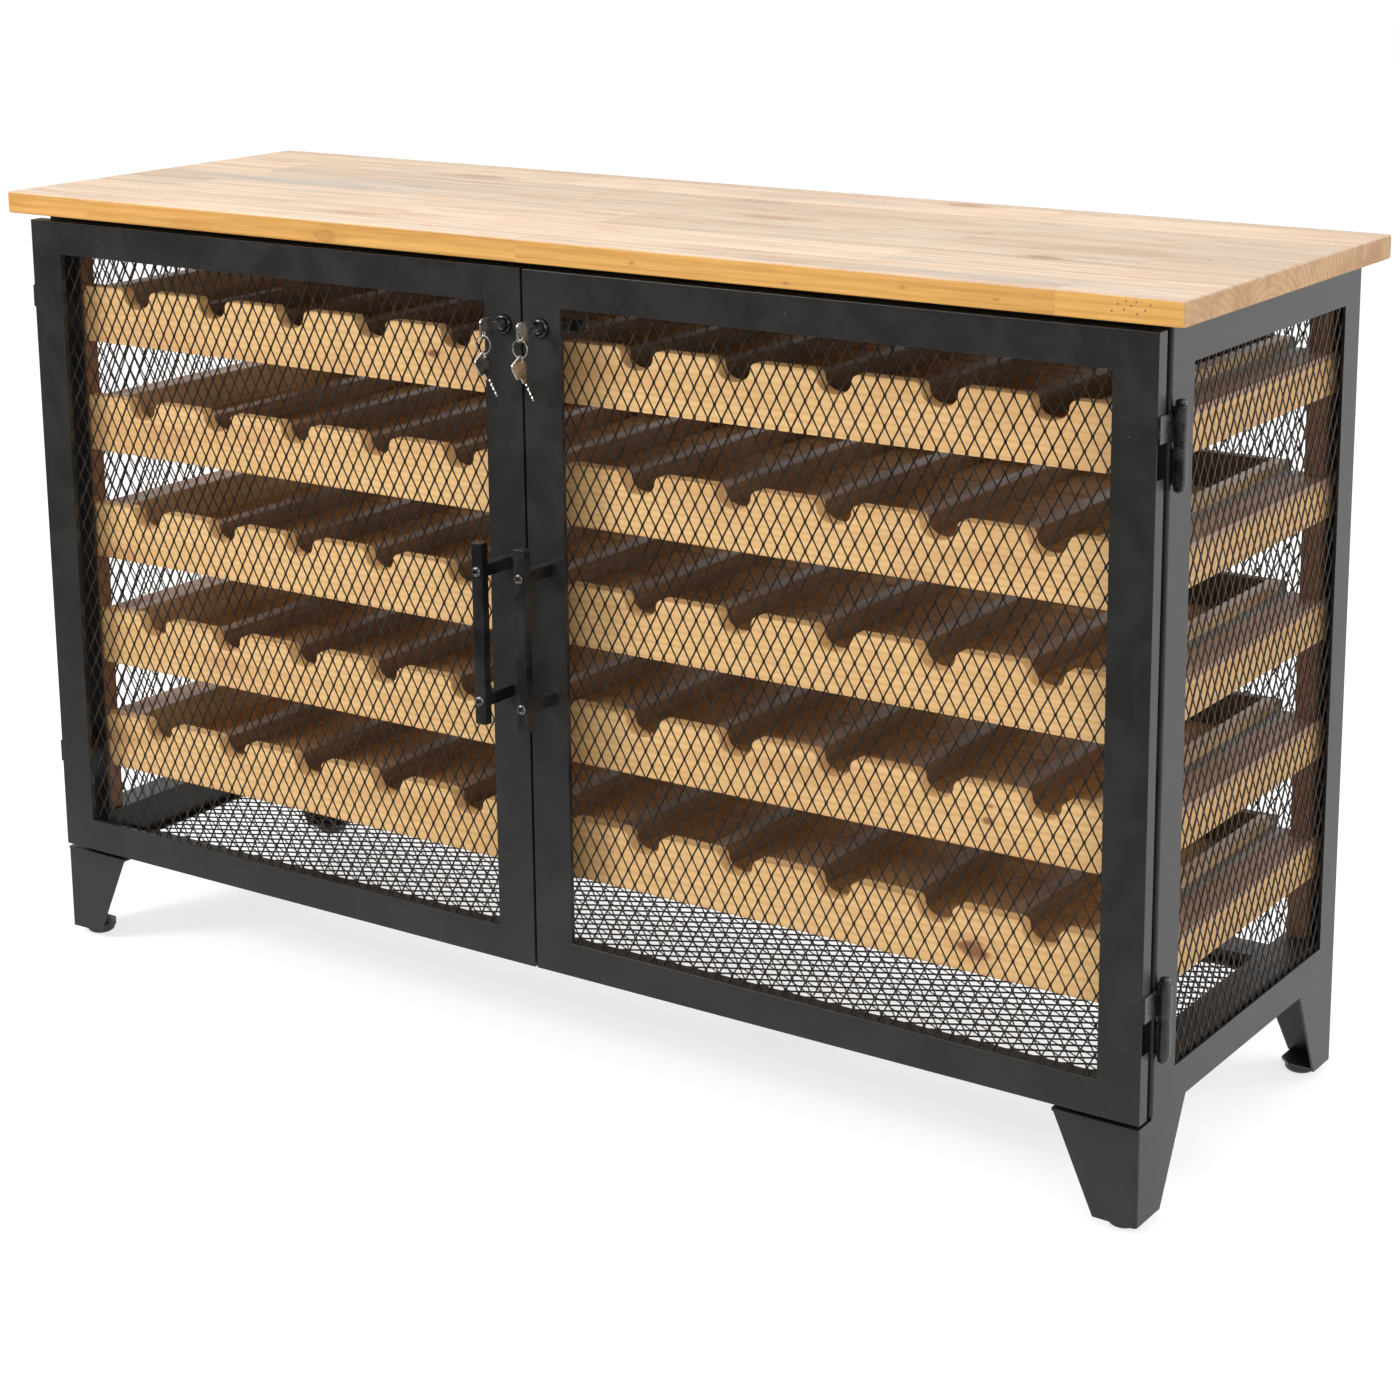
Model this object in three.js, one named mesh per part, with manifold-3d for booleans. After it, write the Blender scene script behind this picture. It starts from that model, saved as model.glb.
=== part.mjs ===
// Wine cabinet: a steel carcass with two expanded metal doors, a solid wood top and a five-row pine bottle rack.
// Millimetres. X runs across the front, Y from the front edge of the wooden top to the back, Z up from the floor.
// The whole cabinet is shifted at the end, so that the origin lies under the middle of its bounding box.
import * as THREE from "three";
import { mergeVertices } from "three/addons/utils/BufferGeometryUtils.js";
import Module from "manifold-3d";

const wasm = await Module();
wasm.setup();

// Driving dimensions
const slab = { width: 1500, depth: 485, thickness: 25, topHeight: 915, overhang: 28.5, edgeRound: 2 };
const sheet = 2.5;
const running = 0.3;
const overrun = 5;
const carcass = {
  front: 36, backInset: 3, flange: 45.5, lip: 26, bend: 4,
  windowFrontStile: 49, windowBackStile: 41, topRail: 45, bottomRail: 38, floor: 112,
};
const foot = {
  clear: 10, frontTop: 94, frontBottom: 47.5, bend: 4, pad: 3, padWidth: 42, padCut: 13,
  atFront: { sideTop: 104, sideBottom: 52 }, atBack: { sideTop: 90, sideBottom: 44 },
};
const glide = { radius: 16.5, flatRadius: 9, inset: 24, turnShares: [0.2, 0.45, 0.7, 1] };
const base = { height: 44, crossHeight: 15, width: 40, lip: 12 };
const door = {
  setback: 8, depth: 17, innerReturn: 6, sheet: 2, outerStile: 46, centreStile: 48, rail: 38,
  topGap: 7, bottomGap: 4, splitGap: 3, sideProud: 0.5,
};
const net = {
  thickness: 2, strand: 3.2, border: 9,
  doorCell: [70, 116], sideCell: [64, 120], backCell: [100, 160], floorCell: [100, 74],
};
const hinge = {
  radius: 7.2, length: 88, domeHeight: 7, capRadius: 5.5, grooveRadius: 6.4, grooveHeight: 3, pinRadius: 4,
  pinLength: 30, leafThickness: 3, leafHeight: 26, leafDrop: 5, notchHeight: 34, weldHalf: 4,
  aboveDoorBottom: 55, belowDoorTop: 65, behindFront: 6, outset: 7.5,
  domeShares: [[0, 0], [0.7, 0.15], [1, 0.6], [1, 1]],
};
const handle = {
  width: 14, depth: 11, height: 198, reach: 50, lowerArm: 26, upperArm: 31, armHeight: 13, armEase: 1,
  offset: 28, screwRadius: 5.5, screwProud: 3, screwShares: [[0, 0], [0.5, 0.13], [0.86, 0.5], [1, 1]],
};
const lock = {
  offset: 24, belowDoorTop: 60, radius: 11, proud: 5, barrelRadius: 9, boreRadius: 6.5, barrelLength: 31, plugRadius: 6.2,
  camLength: 36, camWidth: 13, camThickness: 2, camCornerShare: 0.85, faceShare: 0.75,
};
const key = {
  thickness: 2.2, bow: 21, bowCorner: 4.5, holeRadius: 3, holeInset: 4.8, neckWidth: 9, neckLength: 8.5,
  bladeWidth: 4.5, insertedLength: 6.5, spareLength: 27, reach: 39, spareLean: 58,
};
const ring = { radius: 9.5, wire: 0.9, seat: 1.6 };
const rack = {
  belowSlab: 86, pitch: 131, footRoom: 20, boardHeight: 66, boardThickness: 18, frontGap: 9, backGap: 19,
  notchPitch: 118.8, notchHalf: 20, notchDepth: 22, shoulder: 8, endWood: 15,
};
const post = { size: 20, sideGap: 19.5, headroom: 4 };
const beam = { width: 38, sideGap: 14.5, height: 43.5, drop: 10 };
const deck = { thickness: 6, drop: 40, slatWidth: 18, slatHeight: 23, endRailGap: 19, endRailWidth: 16 };

// Heights and planes that follow from the driving dimensions
const slabUnderside = slab.topHeight - slab.thickness;
const sideX = slab.width / 2 - slab.overhang;
const innerSideX = sideX - sheet;
const carcassBack = slab.depth - carcass.backInset;
const flangeX = sideX - carcass.flange;
const doorBottom = carcass.floor + door.bottomGap;
const doorTop = slabUnderside - door.topGap;
const doorOuterX = sideX + door.sideProud;
const doorBack = door.setback + door.depth;
const baseTop = carcass.floor + base.height;
const hingeX = sideX + hinge.outset;
const hingeY = carcass.front + hinge.behindFront;
const hingeHeights = {
  lower: doorBottom + hinge.aboveDoorBottom,
  upper: doorTop - hinge.belowDoorTop - hinge.length,
};
const handleBottom = (doorBottom + doorTop - handle.height) / 2;
const lockHeight = doorTop - lock.belowDoorTop;
const handleFront = door.setback - handle.reach;
const frontmost = handleFront - handle.screwProud;
const lockBack = door.setback + lock.barrelLength;
const lockFront = door.setback - lock.proud;
const rackFront = carcass.front + rack.frontGap;
const rackBack = carcassBack - rack.backGap;
const postOuter = sideX - post.sideGap;
const postInner = postOuter - post.size;
const beamOuter = sideX - beam.sideGap;
const beamInner = beamOuter - beam.width;
const topRow = slabUnderside - rack.belowSlab;
const rowCount = 1 + Math.floor((topRow - rack.boardHeight - rack.footRoom - baseTop) / rack.pitch);
const notchCount = Math.floor((2 * (postInner - rack.endWood)) / rack.notchPitch);

// Finishes
function steelFinish(colour) {
  return new THREE.MeshStandardMaterial({ color: colour, roughness: 0.42, metalness: 0.55 });
}
const finishes = {
  carcassSteel: steelFinish(0x4a4b4b),
  meshSteel: steelFinish(0x2c2a29),
  handleSteel: steelFinish(0x2b2b2b),
  nickel: new THREE.MeshStandardMaterial({ color: 0xb9b8b2, roughness: 0.25, metalness: 1 }),
  glideBlack: new THREE.MeshStandardMaterial({ color: 0x1b1b1b, roughness: 0.5, metalness: 0 }),
  slabWood: new THREE.MeshStandardMaterial({ color: 0xd9b88c, roughness: 0.5, metalness: 0 }),
  boardPine: new THREE.MeshStandardMaterial({ color: 0xe6c48c, roughness: 0.6, metalness: 0 }),
  deckWood: new THREE.MeshStandardMaterial({ color: 0xa98660, roughness: 0.65, metalness: 0 }),
  postWood: new THREE.MeshStandardMaterial({ color: 0x8a6446, roughness: 0.65, metalness: 0 }),
};

// A geometry with shared vertices and no flat triangles, kept as one closed skin
function welded(geometry) {
  const bare = geometry.clone();
  for (const name of Object.keys(bare.attributes)) {
    if (name !== "position") bare.deleteAttribute(name);
  }
  const merged = mergeVertices(bare, 1e-3);
  const kept = [];
  const index = merged.index.array;
  for (let i = 0; i < index.length; i += 3) {
    const [a, b, c] = [index[i], index[i + 1], index[i + 2]];
    if (a !== b && b !== c && c !== a) kept.push(a, b, c);
  }
  merged.setIndex(kept);
  return merged;
}

function solidOf(geometry) {
  const skin = welded(geometry);
  return new wasm.Manifold(new wasm.Mesh({
    numProp: 3,
    vertProperties: new Float32Array(skin.attributes.position.array),
    triVerts: new Uint32Array(skin.index.array),
  }));
}

function geometryOf(solid) {
  const mesh = solid.getMesh();
  const geometry = new THREE.BufferGeometry();
  geometry.setAttribute("position", new THREE.BufferAttribute(new Float32Array(mesh.vertProperties), 3));
  geometry.setIndex(new THREE.BufferAttribute(new Uint32Array(mesh.triVerts), 1));
  geometry.computeVertexNormals();
  return geometry;
}

function join(...geometries) {
  return geometryOf(geometries.map(solidOf).reduce((whole, next) => whole.add(next)));
}

function cut(geometry, ...tools) {
  return geometryOf(tools.map(solidOf).reduce((whole, next) => whole.subtract(next), solidOf(geometry)));
}

function common(...geometries) {
  return geometryOf(geometries.map(solidOf).reduce((whole, next) => whole.intersect(next)));
}

// The same piece on the other side of the cabinet's middle, with its faces still pointing out
function mirrored(geometry) {
  const skin = welded(geometry);
  skin.scale(-1, 1, 1);
  const index = skin.index.array;
  for (let i = 0; i < index.length; i += 3) {
    const second = index[i + 1];
    index[i + 1] = index[i + 2];
    index[i + 2] = second;
  }
  skin.computeVertexNormals();
  return skin;
}

function block([x0, x1], [y0, y1], [z0, z1]) {
  const geometry = new THREE.BoxGeometry(x1 - x0, y1 - y0, z1 - z0);
  geometry.translate((x0 + x1) / 2, (y0 + y1) / 2, (z0 + z1) / 2);
  return geometry;
}

function outline(points) {
  return new THREE.Shape(points.map(([u, v]) => new THREE.Vector2(u, v)));
}

function extrusion(shape, depth, segments) {
  return new THREE.ExtrudeGeometry(shape, { depth, bevelEnabled: false, curveSegments: segments });
}

// A shape drawn in X and Z, carried along Y
function alongY(shape, [y0, y1], segments = 3) {
  const geometry = extrusion(shape, y1 - y0, segments);
  geometry.rotateX(Math.PI / 2);
  geometry.translate(0, y1, 0);
  return geometry;
}

// A shape drawn in Y and Z, carried along X
function alongX(shape, [x0, x1], segments = 3) {
  const geometry = extrusion(shape, x1 - x0, segments);
  const turn = new THREE.Matrix4().makeBasis(
    new THREE.Vector3(0, 1, 0), new THREE.Vector3(0, 0, 1), new THREE.Vector3(1, 0, 0));
  geometry.applyMatrix4(turn);
  geometry.translate(x0, 0, 0);
  return geometry;
}

// A shape drawn in X and Y, carried along Z
function alongZ(shape, [z0, z1], segments = 3) {
  const geometry = extrusion(shape, z1 - z0, segments);
  geometry.translate(0, 0, z0);
  return geometry;
}

function rectangle([u0, u1], [v0, v1]) {
  return outline([[u0, v0], [u1, v0], [u1, v1], [u0, v1]]);
}

function rectangleFrame([u0, u1], [v0, v1], [w0, w1], [h0, h1]) {
  const shape = rectangle([u0, u1], [v0, v1]);
  shape.holes.push(outline([[w0, h0], [w0, h1], [w1, h1], [w1, h0]]));
  return shape;
}

function roundedRectangle([u0, u1], [v0, v1], radius) {
  const shape = new THREE.Shape();
  shape.moveTo(u0 + radius, v0);
  shape.lineTo(u1 - radius, v0);
  shape.absarc(u1 - radius, v0 + radius, radius, -Math.PI / 2, 0, false);
  shape.lineTo(u1, v1 - radius);
  shape.absarc(u1 - radius, v1 - radius, radius, 0, Math.PI / 2, false);
  shape.lineTo(u0 + radius, v1);
  shape.absarc(u0 + radius, v1 - radius, radius, Math.PI / 2, Math.PI, false);
  shape.lineTo(u0, v0 + radius);
  shape.absarc(u0 + radius, v0 + radius, radius, Math.PI, 1.5 * Math.PI, false);
  return shape;
}

// A profile of [radius, height] from the axis round to the axis, turned about a vertical line
function turned(profile, [x, y], segments) {
  const geometry = new THREE.LatheGeometry(profile.map(([r, h]) => new THREE.Vector2(r, h)), segments);
  geometry.rotateX(Math.PI / 2);
  geometry.translate(x, y, 0);
  return geometry;
}

function piece(name, geometry, material) {
  const mesh = new THREE.Mesh(welded(geometry), material);
  mesh.geometry.computeVertexNormals();
  mesh.name = name;
  return mesh;
}

const sides = [
  { name: "left", sign: -1, place: mirrored },
  { name: "right", sign: 1, place: (geometry) => geometry },
];

// The solid wood top, with its long edges eased
function topSlab() {
  const half = slab.width / 2;
  const ease = slab.edgeRound;
  const section = outline([
    [ease, slabUnderside], [slab.depth - ease, slabUnderside], [slab.depth, slabUnderside + ease],
    [slab.depth, slab.topHeight - ease], [slab.depth - ease, slab.topHeight], [ease, slab.topHeight],
    [0, slab.topHeight - ease], [0, slabUnderside + ease],
  ]);
  return piece("top_slab", alongX(section, [-half, half]), finishes.slabWood);
}

function sorted(...values) {
  return values.sort((a, b) => a - b);
}

// A foot wing and the side wing it bends into, seen from above
function bendPlan(frontY, direction, sideReach) {
  const outerRadius = foot.bend;
  const innerRadius = foot.bend - sheet;
  const centre = [sideX - outerRadius, frontY + direction * outerRadius];
  const start = -direction * Math.PI / 2;
  const shape = new THREE.Shape();
  shape.moveTo(sideX - foot.frontTop, frontY);
  shape.absarc(centre[0], centre[1], outerRadius, start, 0, direction < 0);
  shape.lineTo(sideX, frontY + direction * sideReach);
  shape.lineTo(innerSideX, frontY + direction * sideReach);
  shape.absarc(centre[0], centre[1], innerRadius, 0, start, direction > 0);
  shape.lineTo(sideX - foot.frontTop, frontY + direction * sheet);
  return shape;
}

// One tapered foot of folded sheet; direction tells whether its side wing runs to the back or to the front
function foldedFoot(frontY, direction, { sideTop, sideBottom }) {
  const low = foot.clear;
  const high = carcass.floor;
  const beyond = frontY - direction * overrun;
  const wings = alongZ(bendPlan(frontY, direction, sideTop), [low, high], 4);
  const frontTaper = alongY(outline([
    [sideX - foot.frontBottom, low], [sideX + overrun, low], [sideX + overrun, high], [sideX - foot.frontTop, high],
  ]), sorted(beyond, frontY + direction * (sideTop + overrun)));
  const sideTaper = alongX(outline([
    [beyond, low], [frontY + direction * sideBottom, low], [frontY + direction * sideTop, high], [beyond, high],
  ]), [sideX - foot.frontTop - overrun, sideX + overrun]);
  return common(wings, frontTaper, sideTaper);
}

// The plate over a glide, with its free corner cut off
function footPad(frontY, direction) {
  const outer = sideX - sheet / 2;
  const inner = outer - foot.padWidth;
  const near = frontY + direction * sheet / 2;
  const far = near + direction * foot.padWidth;
  const z = [foot.clear, foot.clear + foot.pad];
  const corner = outline([[inner, far], [inner + foot.padCut, far], [inner, far - direction * foot.padCut]]);
  return cut(block([inner, outer], sorted(near, far), z), alongZ(corner, [z[0] - overrun, z[1] + overrun]));
}

// The side of the carcass: a window frame of folded sheet that runs down into its two feet
function sideFrame() {
  const z = [carcass.floor, slabUnderside];
  const tall = [z[0] - overrun, z[1] + overrun];
  const shell = alongZ(roundedRectangle(
    [flangeX - 2 * overrun, sideX], [carcass.front, carcassBack], carcass.bend), z, 3);
  const hollow = alongZ(roundedRectangle(
    [flangeX - 4 * overrun, innerSideX], [carcass.front + sheet, carcassBack - sheet], carcass.bend - sheet), tall, 3);
  const open = block([flangeX - 4 * overrun, flangeX], [carcass.front - overrun, carcassBack + overrun], tall);
  const window = block(
    [innerSideX - overrun, sideX + overrun],
    [carcass.front + carcass.windowFrontStile, carcassBack - carcass.windowBackStile],
    [carcass.floor + carcass.bottomRail, slabUnderside - carcass.topRail]);
  const channel = cut(shell, hollow, open, window);
  const topLip = block(
    [sideX - carcass.lip, innerSideX + sheet / 2],
    [carcass.front + sheet / 2, carcassBack - sheet / 2],
    [slabUnderside - sheet, slabUnderside]);
  const shelf = alongZ(roundedRectangle(
    [sideX - foot.frontTop, sideX], [door.setback, carcass.front + carcass.bend + sheet], sheet),
  [carcass.floor - sheet, carcass.floor], 3);
  const sideStep = block(
    [innerSideX, sideX], [carcass.front, door.setback + foot.atFront.sideTop - overrun],
    [carcass.floor - sheet, carcass.floor + sheet]);
  const backStep = block(
    [innerSideX, sideX], [carcassBack - foot.atBack.sideTop + overrun, carcassBack - foot.bend],
    [carcass.floor - sheet, carcass.floor + sheet]);
  return join(
    channel, topLip, shelf, sideStep, backStep,
    foldedFoot(door.setback, 1, foot.atFront), foldedFoot(carcassBack, -1, foot.atBack),
    footPad(door.setback, 1), footPad(carcassBack, -1),
  );
}

// A rail of folded angle between the flanges of the two side frames, with its lip under the wooden top
function topRail(faceY, lipY) {
  const half = flangeX - running;
  const face = block([-half, half], faceY, [slabUnderside - carcass.topRail, slabUnderside]);
  const lip = block([-half, half], lipY, [slabUnderside - sheet, slabUnderside]);
  return join(face, lip);
}

// A channel of folded sheet with closed ends, open underneath
function channelTray([x0, x1], [y0, y1], top) {
  return cut(
    block([x0, x1], [y0, y1], [carcass.floor, top]),
    block([x0 + sheet, x1 - sheet], [y0 + sheet, y1 - sheet], [carcass.floor - overrun, top - sheet]));
}

// The base in the bottom of the carcass: a high channel along each side carries the posts, a low one
// runs across the front and the back, and a lip all round carries the floor mesh
function baseFrame() {
  const outerX = innerSideX - net.thickness - running;
  const innerX = outerX - base.width;
  const wallX = innerX + sheet;
  const y = [carcass.front + sheet, carcassBack - sheet - net.thickness];
  const wallY = [y[0] + base.width - sheet, y[1] - base.width + sheet];
  const side = channelTray([innerX, outerX], y, baseTop);
  const crossTop = carcass.floor + base.crossHeight;
  const lip = alongZ(rectangleFrame(
    [-wallX, wallX], wallY, [-wallX + base.lip, wallX - base.lip], [wallY[0] + base.lip, wallY[1] - base.lip],
  ), [carcass.floor, carcass.floor + sheet]);
  return join(
    side, mirrored(side),
    channelTray([-wallX, wallX], [y[0], y[0] + base.width], crossTop),
    channelTray([-wallX, wallX], [y[1] - base.width, y[1]], crossTop),
    lip,
  );
}

// Expanded metal, drawn with coarse diamonds in staggered rows inside a plain border;
// carry is the way its outline is carried through its thickness
function diamondNet(carry, [u0, u1], [v0, v1], [cellU, cellV], [t0, t1]) {
  const through = [t0 - overrun, t1 + overrun];
  const inside = [[u0 + net.border, u1 - net.border], [v0 + net.border, v1 - net.border]];
  const columns = Math.round((inside[0][1] - inside[0][0]) / cellU);
  const rows = Math.round((inside[1][1] - inside[1][0]) / cellV);
  const stepU = (inside[0][1] - inside[0][0]) / columns;
  const stepV = (inside[1][1] - inside[1][0]) / rows;
  const halfU = stepU / 2 - net.strand / 2 * Math.hypot(1, stepU / stepV);
  const halfV = halfU * stepV / stepU;
  const holes = [];
  for (let row = 0; row <= 2 * rows; row++) {
    const between = row % 2 === 1;
    for (let column = 0; column <= columns - (between ? 1 : 0); column++) {
      const u = inside[0][0] + stepU * (column + (between ? 0.5 : 0));
      const v = inside[1][0] + stepV * row / 2;
      holes.push(carry(outline([[u, v - halfV], [u + halfU, v], [u, v + halfV], [u - halfU, v]]), through));
    }
  }
  const open = common(join(...holes), carry(rectangle(...inside), through));
  return cut(carry(rectangle([u0, u1], [v0, v1]), [t0, t1]), open);
}

function carcassMeshes() {
  const meshes = [];
  const sideZ = [carcass.floor + carcass.bottomRail / 2, slabUnderside - carcass.topRail / 2];
  const sideY = [
    carcass.front + carcass.windowFrontStile / 2,
    carcassBack - carcass.windowBackStile / 2,
  ];
  const sideNet = diamondNet(alongX, sideY, sideZ, net.sideCell, [innerSideX - net.thickness, innerSideX]);
  for (const side of sides) {
    meshes.push(piece(`${side.name}_side_mesh`, side.place(sideNet), finishes.meshSteel));
  }
  const backHalf = flangeX + net.border;
  const backInside = carcassBack - sheet;
  const backY = [backInside - net.thickness, backInside];
  const backNet = diamondNet(alongY, [-backHalf, backHalf], sideZ, net.backCell, backY);
  meshes.push(piece("back_mesh", backNet, finishes.meshSteel));
  const floorHalf = innerSideX - net.thickness - running - base.width - running;
  const floorY = [
    carcass.front + sheet + base.width + running,
    carcassBack - sheet - net.thickness - base.width - running,
  ];
  const floorZ = [carcass.floor + sheet, carcass.floor + sheet + net.thickness];
  const floorNet = diamondNet(alongZ, [-floorHalf, floorHalf], floorY, net.floorCell, floorZ);
  meshes.push(piece("floor_mesh", floorNet, finishes.meshSteel));
  return meshes;
}

function carcassSteelwork() {
  const group = new THREE.Group();
  const frame = sideFrame();
  for (const side of sides) {
    group.add(piece(`${side.name}_side_frame`, side.place(frame), finishes.carcassSteel));
  }
  const frontRail = topRail([carcass.front, carcass.front + sheet], [carcass.front, carcass.front + carcass.lip]);
  const backRail = topRail([carcassBack - sheet, carcassBack], [carcassBack - carcass.lip, carcassBack]);
  group.add(piece("front_top_rail", frontRail, finishes.carcassSteel));
  group.add(piece("back_top_rail", backRail, finishes.carcassSteel));
  group.add(piece("base_frame", baseFrame(), finishes.carcassSteel));
  group.add(...carcassMeshes());
  return group;
}

// A domed plastic glide under each foot, with a flat underside
function footGlides() {
  const group = new THREE.Group();
  const flat = glide.flatRadius;
  const bulge = glide.radius - flat;
  const profile = [[0, 0], [flat, 0]];
  for (const share of glide.turnShares) {
    const angle = share * Math.PI / 2;
    profile.push([flat + bulge * Math.sin(angle), (1 - Math.cos(angle)) * foot.clear / 2]);
  }
  profile.push([glide.radius, foot.clear], [0, foot.clear]);
  const ends = { front: door.setback + glide.inset, back: carcassBack - glide.inset };
  for (const side of sides) {
    for (const [end, y] of Object.entries(ends)) {
      const place = [side.sign * (sideX - glide.inset), y];
      group.add(piece(`${side.name}_${end}_glide`, turned(profile, place, 20), finishes.glideBlack));
    }
  }
  return group;
}

// Rack posts stand on the base frame in the four corners of the rack
function rackPosts() {
  const group = new THREE.Group();
  const depths = { front: [rackFront, rackFront + post.size], back: [rackBack - post.size, rackBack] };
  for (const side of sides) {
    for (const [end, y] of Object.entries(depths)) {
      const geometry = block([postInner, postOuter], y, [baseTop, slabUnderside - post.headroom]);
      group.add(piece(`${side.name}_${end}_post`, side.place(geometry), finishes.postWood));
    }
  }
  return group;
}

// The notched front board that carries the bottle necks
function frontBoard(top) {
  const half = postInner;
  const bottom = top - rack.boardHeight;
  const r = rack.shoulder;
  const a = rack.notchHalf;
  const shape = new THREE.Shape();
  shape.moveTo(-half, bottom);
  shape.lineTo(half, bottom);
  shape.lineTo(half, top);
  for (let i = notchCount - 1; i >= 0; i--) {
    const x = (i - (notchCount - 1) / 2) * rack.notchPitch;
    shape.absarc(x + a + r, top - r, r, Math.PI / 2, Math.PI, false);
    shape.absellipse(x, top - r, a, rack.notchDepth - r, 0, Math.PI, true, 0);
    shape.absarc(x - a - r, top - r, r, 0, Math.PI / 2, false);
  }
  shape.lineTo(-half, top);
  return alongY(shape, [rackFront, rackFront + rack.boardThickness], 2);
}

// The deck behind a front board, with a slat between each two bottles and a rail at each end
function slattedDeck(top) {
  const y = [rackFront + rack.boardThickness, rackBack];
  const deckTop = top - deck.drop;
  const panel = block([-beamInner, beamInner], y, [deckTop - deck.thickness, deckTop]);
  const strips = [];
  const slatTop = deckTop + deck.slatHeight;
  const slats = notchCount - 1;
  for (let i = 0; i < slats; i++) {
    const x = (i - (slats - 1) / 2) * rack.notchPitch;
    strips.push(block([x - deck.slatWidth / 2, x + deck.slatWidth / 2], y, [deckTop - deck.thickness / 2, slatTop]));
  }
  const railOuter = beamInner - deck.endRailGap;
  const railX = [railOuter - deck.endRailWidth, railOuter];
  for (const side of sides) {
    const range = railX.map((x) => side.sign * x).sort((p, q) => p - q);
    strips.push(block(range, y, [deckTop - deck.thickness / 2, top]));
  }
  return join(panel, ...strips);
}

// The side beam of a row, notched round the back post
function sideBeam(top) {
  const z = [top - beam.drop - beam.height, top - beam.drop];
  const body = block([beamInner, beamOuter], [rackFront + post.size, rackBack], z);
  const notch = block(
    [postInner - running, postOuter + running],
    [rackBack - post.size - running, rackBack + overrun],
    [z[0] - overrun, z[1] + overrun]);
  return cut(body, notch);
}

function bottleRack() {
  const group = new THREE.Group();
  group.add(rackPosts());
  for (let row = 0; row < rowCount; row++) {
    const top = topRow - row * rack.pitch;
    const name = `row${row + 1}`;
    group.add(piece(`${name}_front_board`, frontBoard(top), finishes.boardPine));
    group.add(piece(`${name}_slatted_deck`, slattedDeck(top), finishes.deckWood));
    for (const side of sides) {
      group.add(piece(`${name}_${side.name}_beam`, side.place(sideBeam(top)), finishes.boardPine));
    }
  }
  return group;
}

// A barrel end that steps in and closes in a low dome; zEnd is its tip and inward points into the barrel
function domedEnd(zEnd, inward) {
  const rise = inward * hinge.domeHeight;
  return [
    ...hinge.domeShares.map(([across, up]) => [hinge.capRadius * across, zEnd + rise * up]),
    [hinge.radius, zEnd + rise],
  ];
}

// The lower half of a lift-off hinge is welded to the side frame and holds the pin
function hingeFrameHalf(z0) {
  const middle = z0 + hinge.length / 2;
  const groove = hinge.grooveHeight;
  const pinTop = middle + hinge.pinLength;
  const barrel = turned([
    ...domedEnd(z0, 1), [hinge.radius, middle - groove], [hinge.grooveRadius, middle - groove],
    [hinge.grooveRadius, middle - running], [hinge.pinRadius, middle - running],
    [hinge.pinRadius, pinTop], [0, pinTop],
  ], [hingeX, hingeY], 12);
  const weld = block(
    [sideX, hingeX - hinge.pinRadius], [hingeY - hinge.weldHalf, hingeY + hinge.weldHalf],
    [z0 + 2 * hinge.domeHeight, middle - 2 * groove]);
  return join(barrel, weld);
}

// The upper half turns on the pin and carries the door by a short leaf
function hingeDoorHalf(z0) {
  const middle = z0 + hinge.length / 2;
  const top = z0 + hinge.length;
  const groove = hinge.grooveHeight;
  const bore = hinge.pinRadius + running;
  const boreTop = middle + hinge.pinLength + running;
  const barrel = turned([
    [0, boreTop], [bore, boreTop], [bore, middle], [hinge.grooveRadius, middle],
    [hinge.grooveRadius, middle + groove], [hinge.radius, middle + groove],
    ...domedEnd(top, -1).reverse(),
  ], [hingeX, hingeY], 12);
  const z = leafRange(z0);
  const leaf = block(
    [doorOuterX, doorOuterX + hinge.leafThickness], [door.setback + running, hingeY], z);
  const pinRoom = turned([[0, z[0] - overrun], [bore, z[0] - overrun], [bore, boreTop], [0, boreTop]],
    [hingeX, hingeY], 12);
  return join(barrel, cut(leaf, pinRoom));
}

function leafRange(z0) {
  const top = z0 + hinge.length - hinge.domeHeight - hinge.leafDrop;
  return [top - hinge.leafHeight, top];
}

// Where the return of the door is cut away under each leaf
function hingeNotch(z0) {
  const under = leafRange(z0)[0];
  return block(
    [doorOuterX - door.sheet - overrun, doorOuterX + overrun],
    [door.setback + door.sheet, doorBack + overrun],
    [under - hinge.notchHeight, under]);
}

// The right door's frame: a pressed tray with a deep outer return and a short return round the window
function doorFrame() {
  const x = [door.splitGap / 2, doorOuterX];
  const z = [doorBottom, doorTop];
  const windowX = [x[0] + door.centreStile, x[1] - door.outerStile];
  const windowZ = [z[0] + door.rail, z[1] - door.rail];
  const t = door.sheet;
  const face = rectangleFrame(x, z, windowX, windowZ);
  const outer = rectangleFrame(x, z, [x[0] + t, x[1] - t], [z[0] + t, z[1] - t]);
  const inner = rectangleFrame(
    [windowX[0] - t, windowX[1] + t], [windowZ[0] - t, windowZ[1] + t], windowX, windowZ);
  const tray = join(
    alongY(face, [door.setback, door.setback + t]),
    alongY(outer, [door.setback, doorBack]),
    alongY(inner, [door.setback, door.setback + door.innerReturn]),
  );
  const barrelHole = turned([
    [0, -overrun], [lock.barrelRadius + running, -overrun],
    [lock.barrelRadius + running, overrun + t], [0, overrun + t],
  ], [0, 0], 20);
  barrelHole.rotateX(-Math.PI / 2);
  barrelHole.translate(lock.offset, door.setback, lockHeight);
  return cut(tray, barrelHole, ...Object.values(hingeHeights).map(hingeNotch));
}

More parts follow.
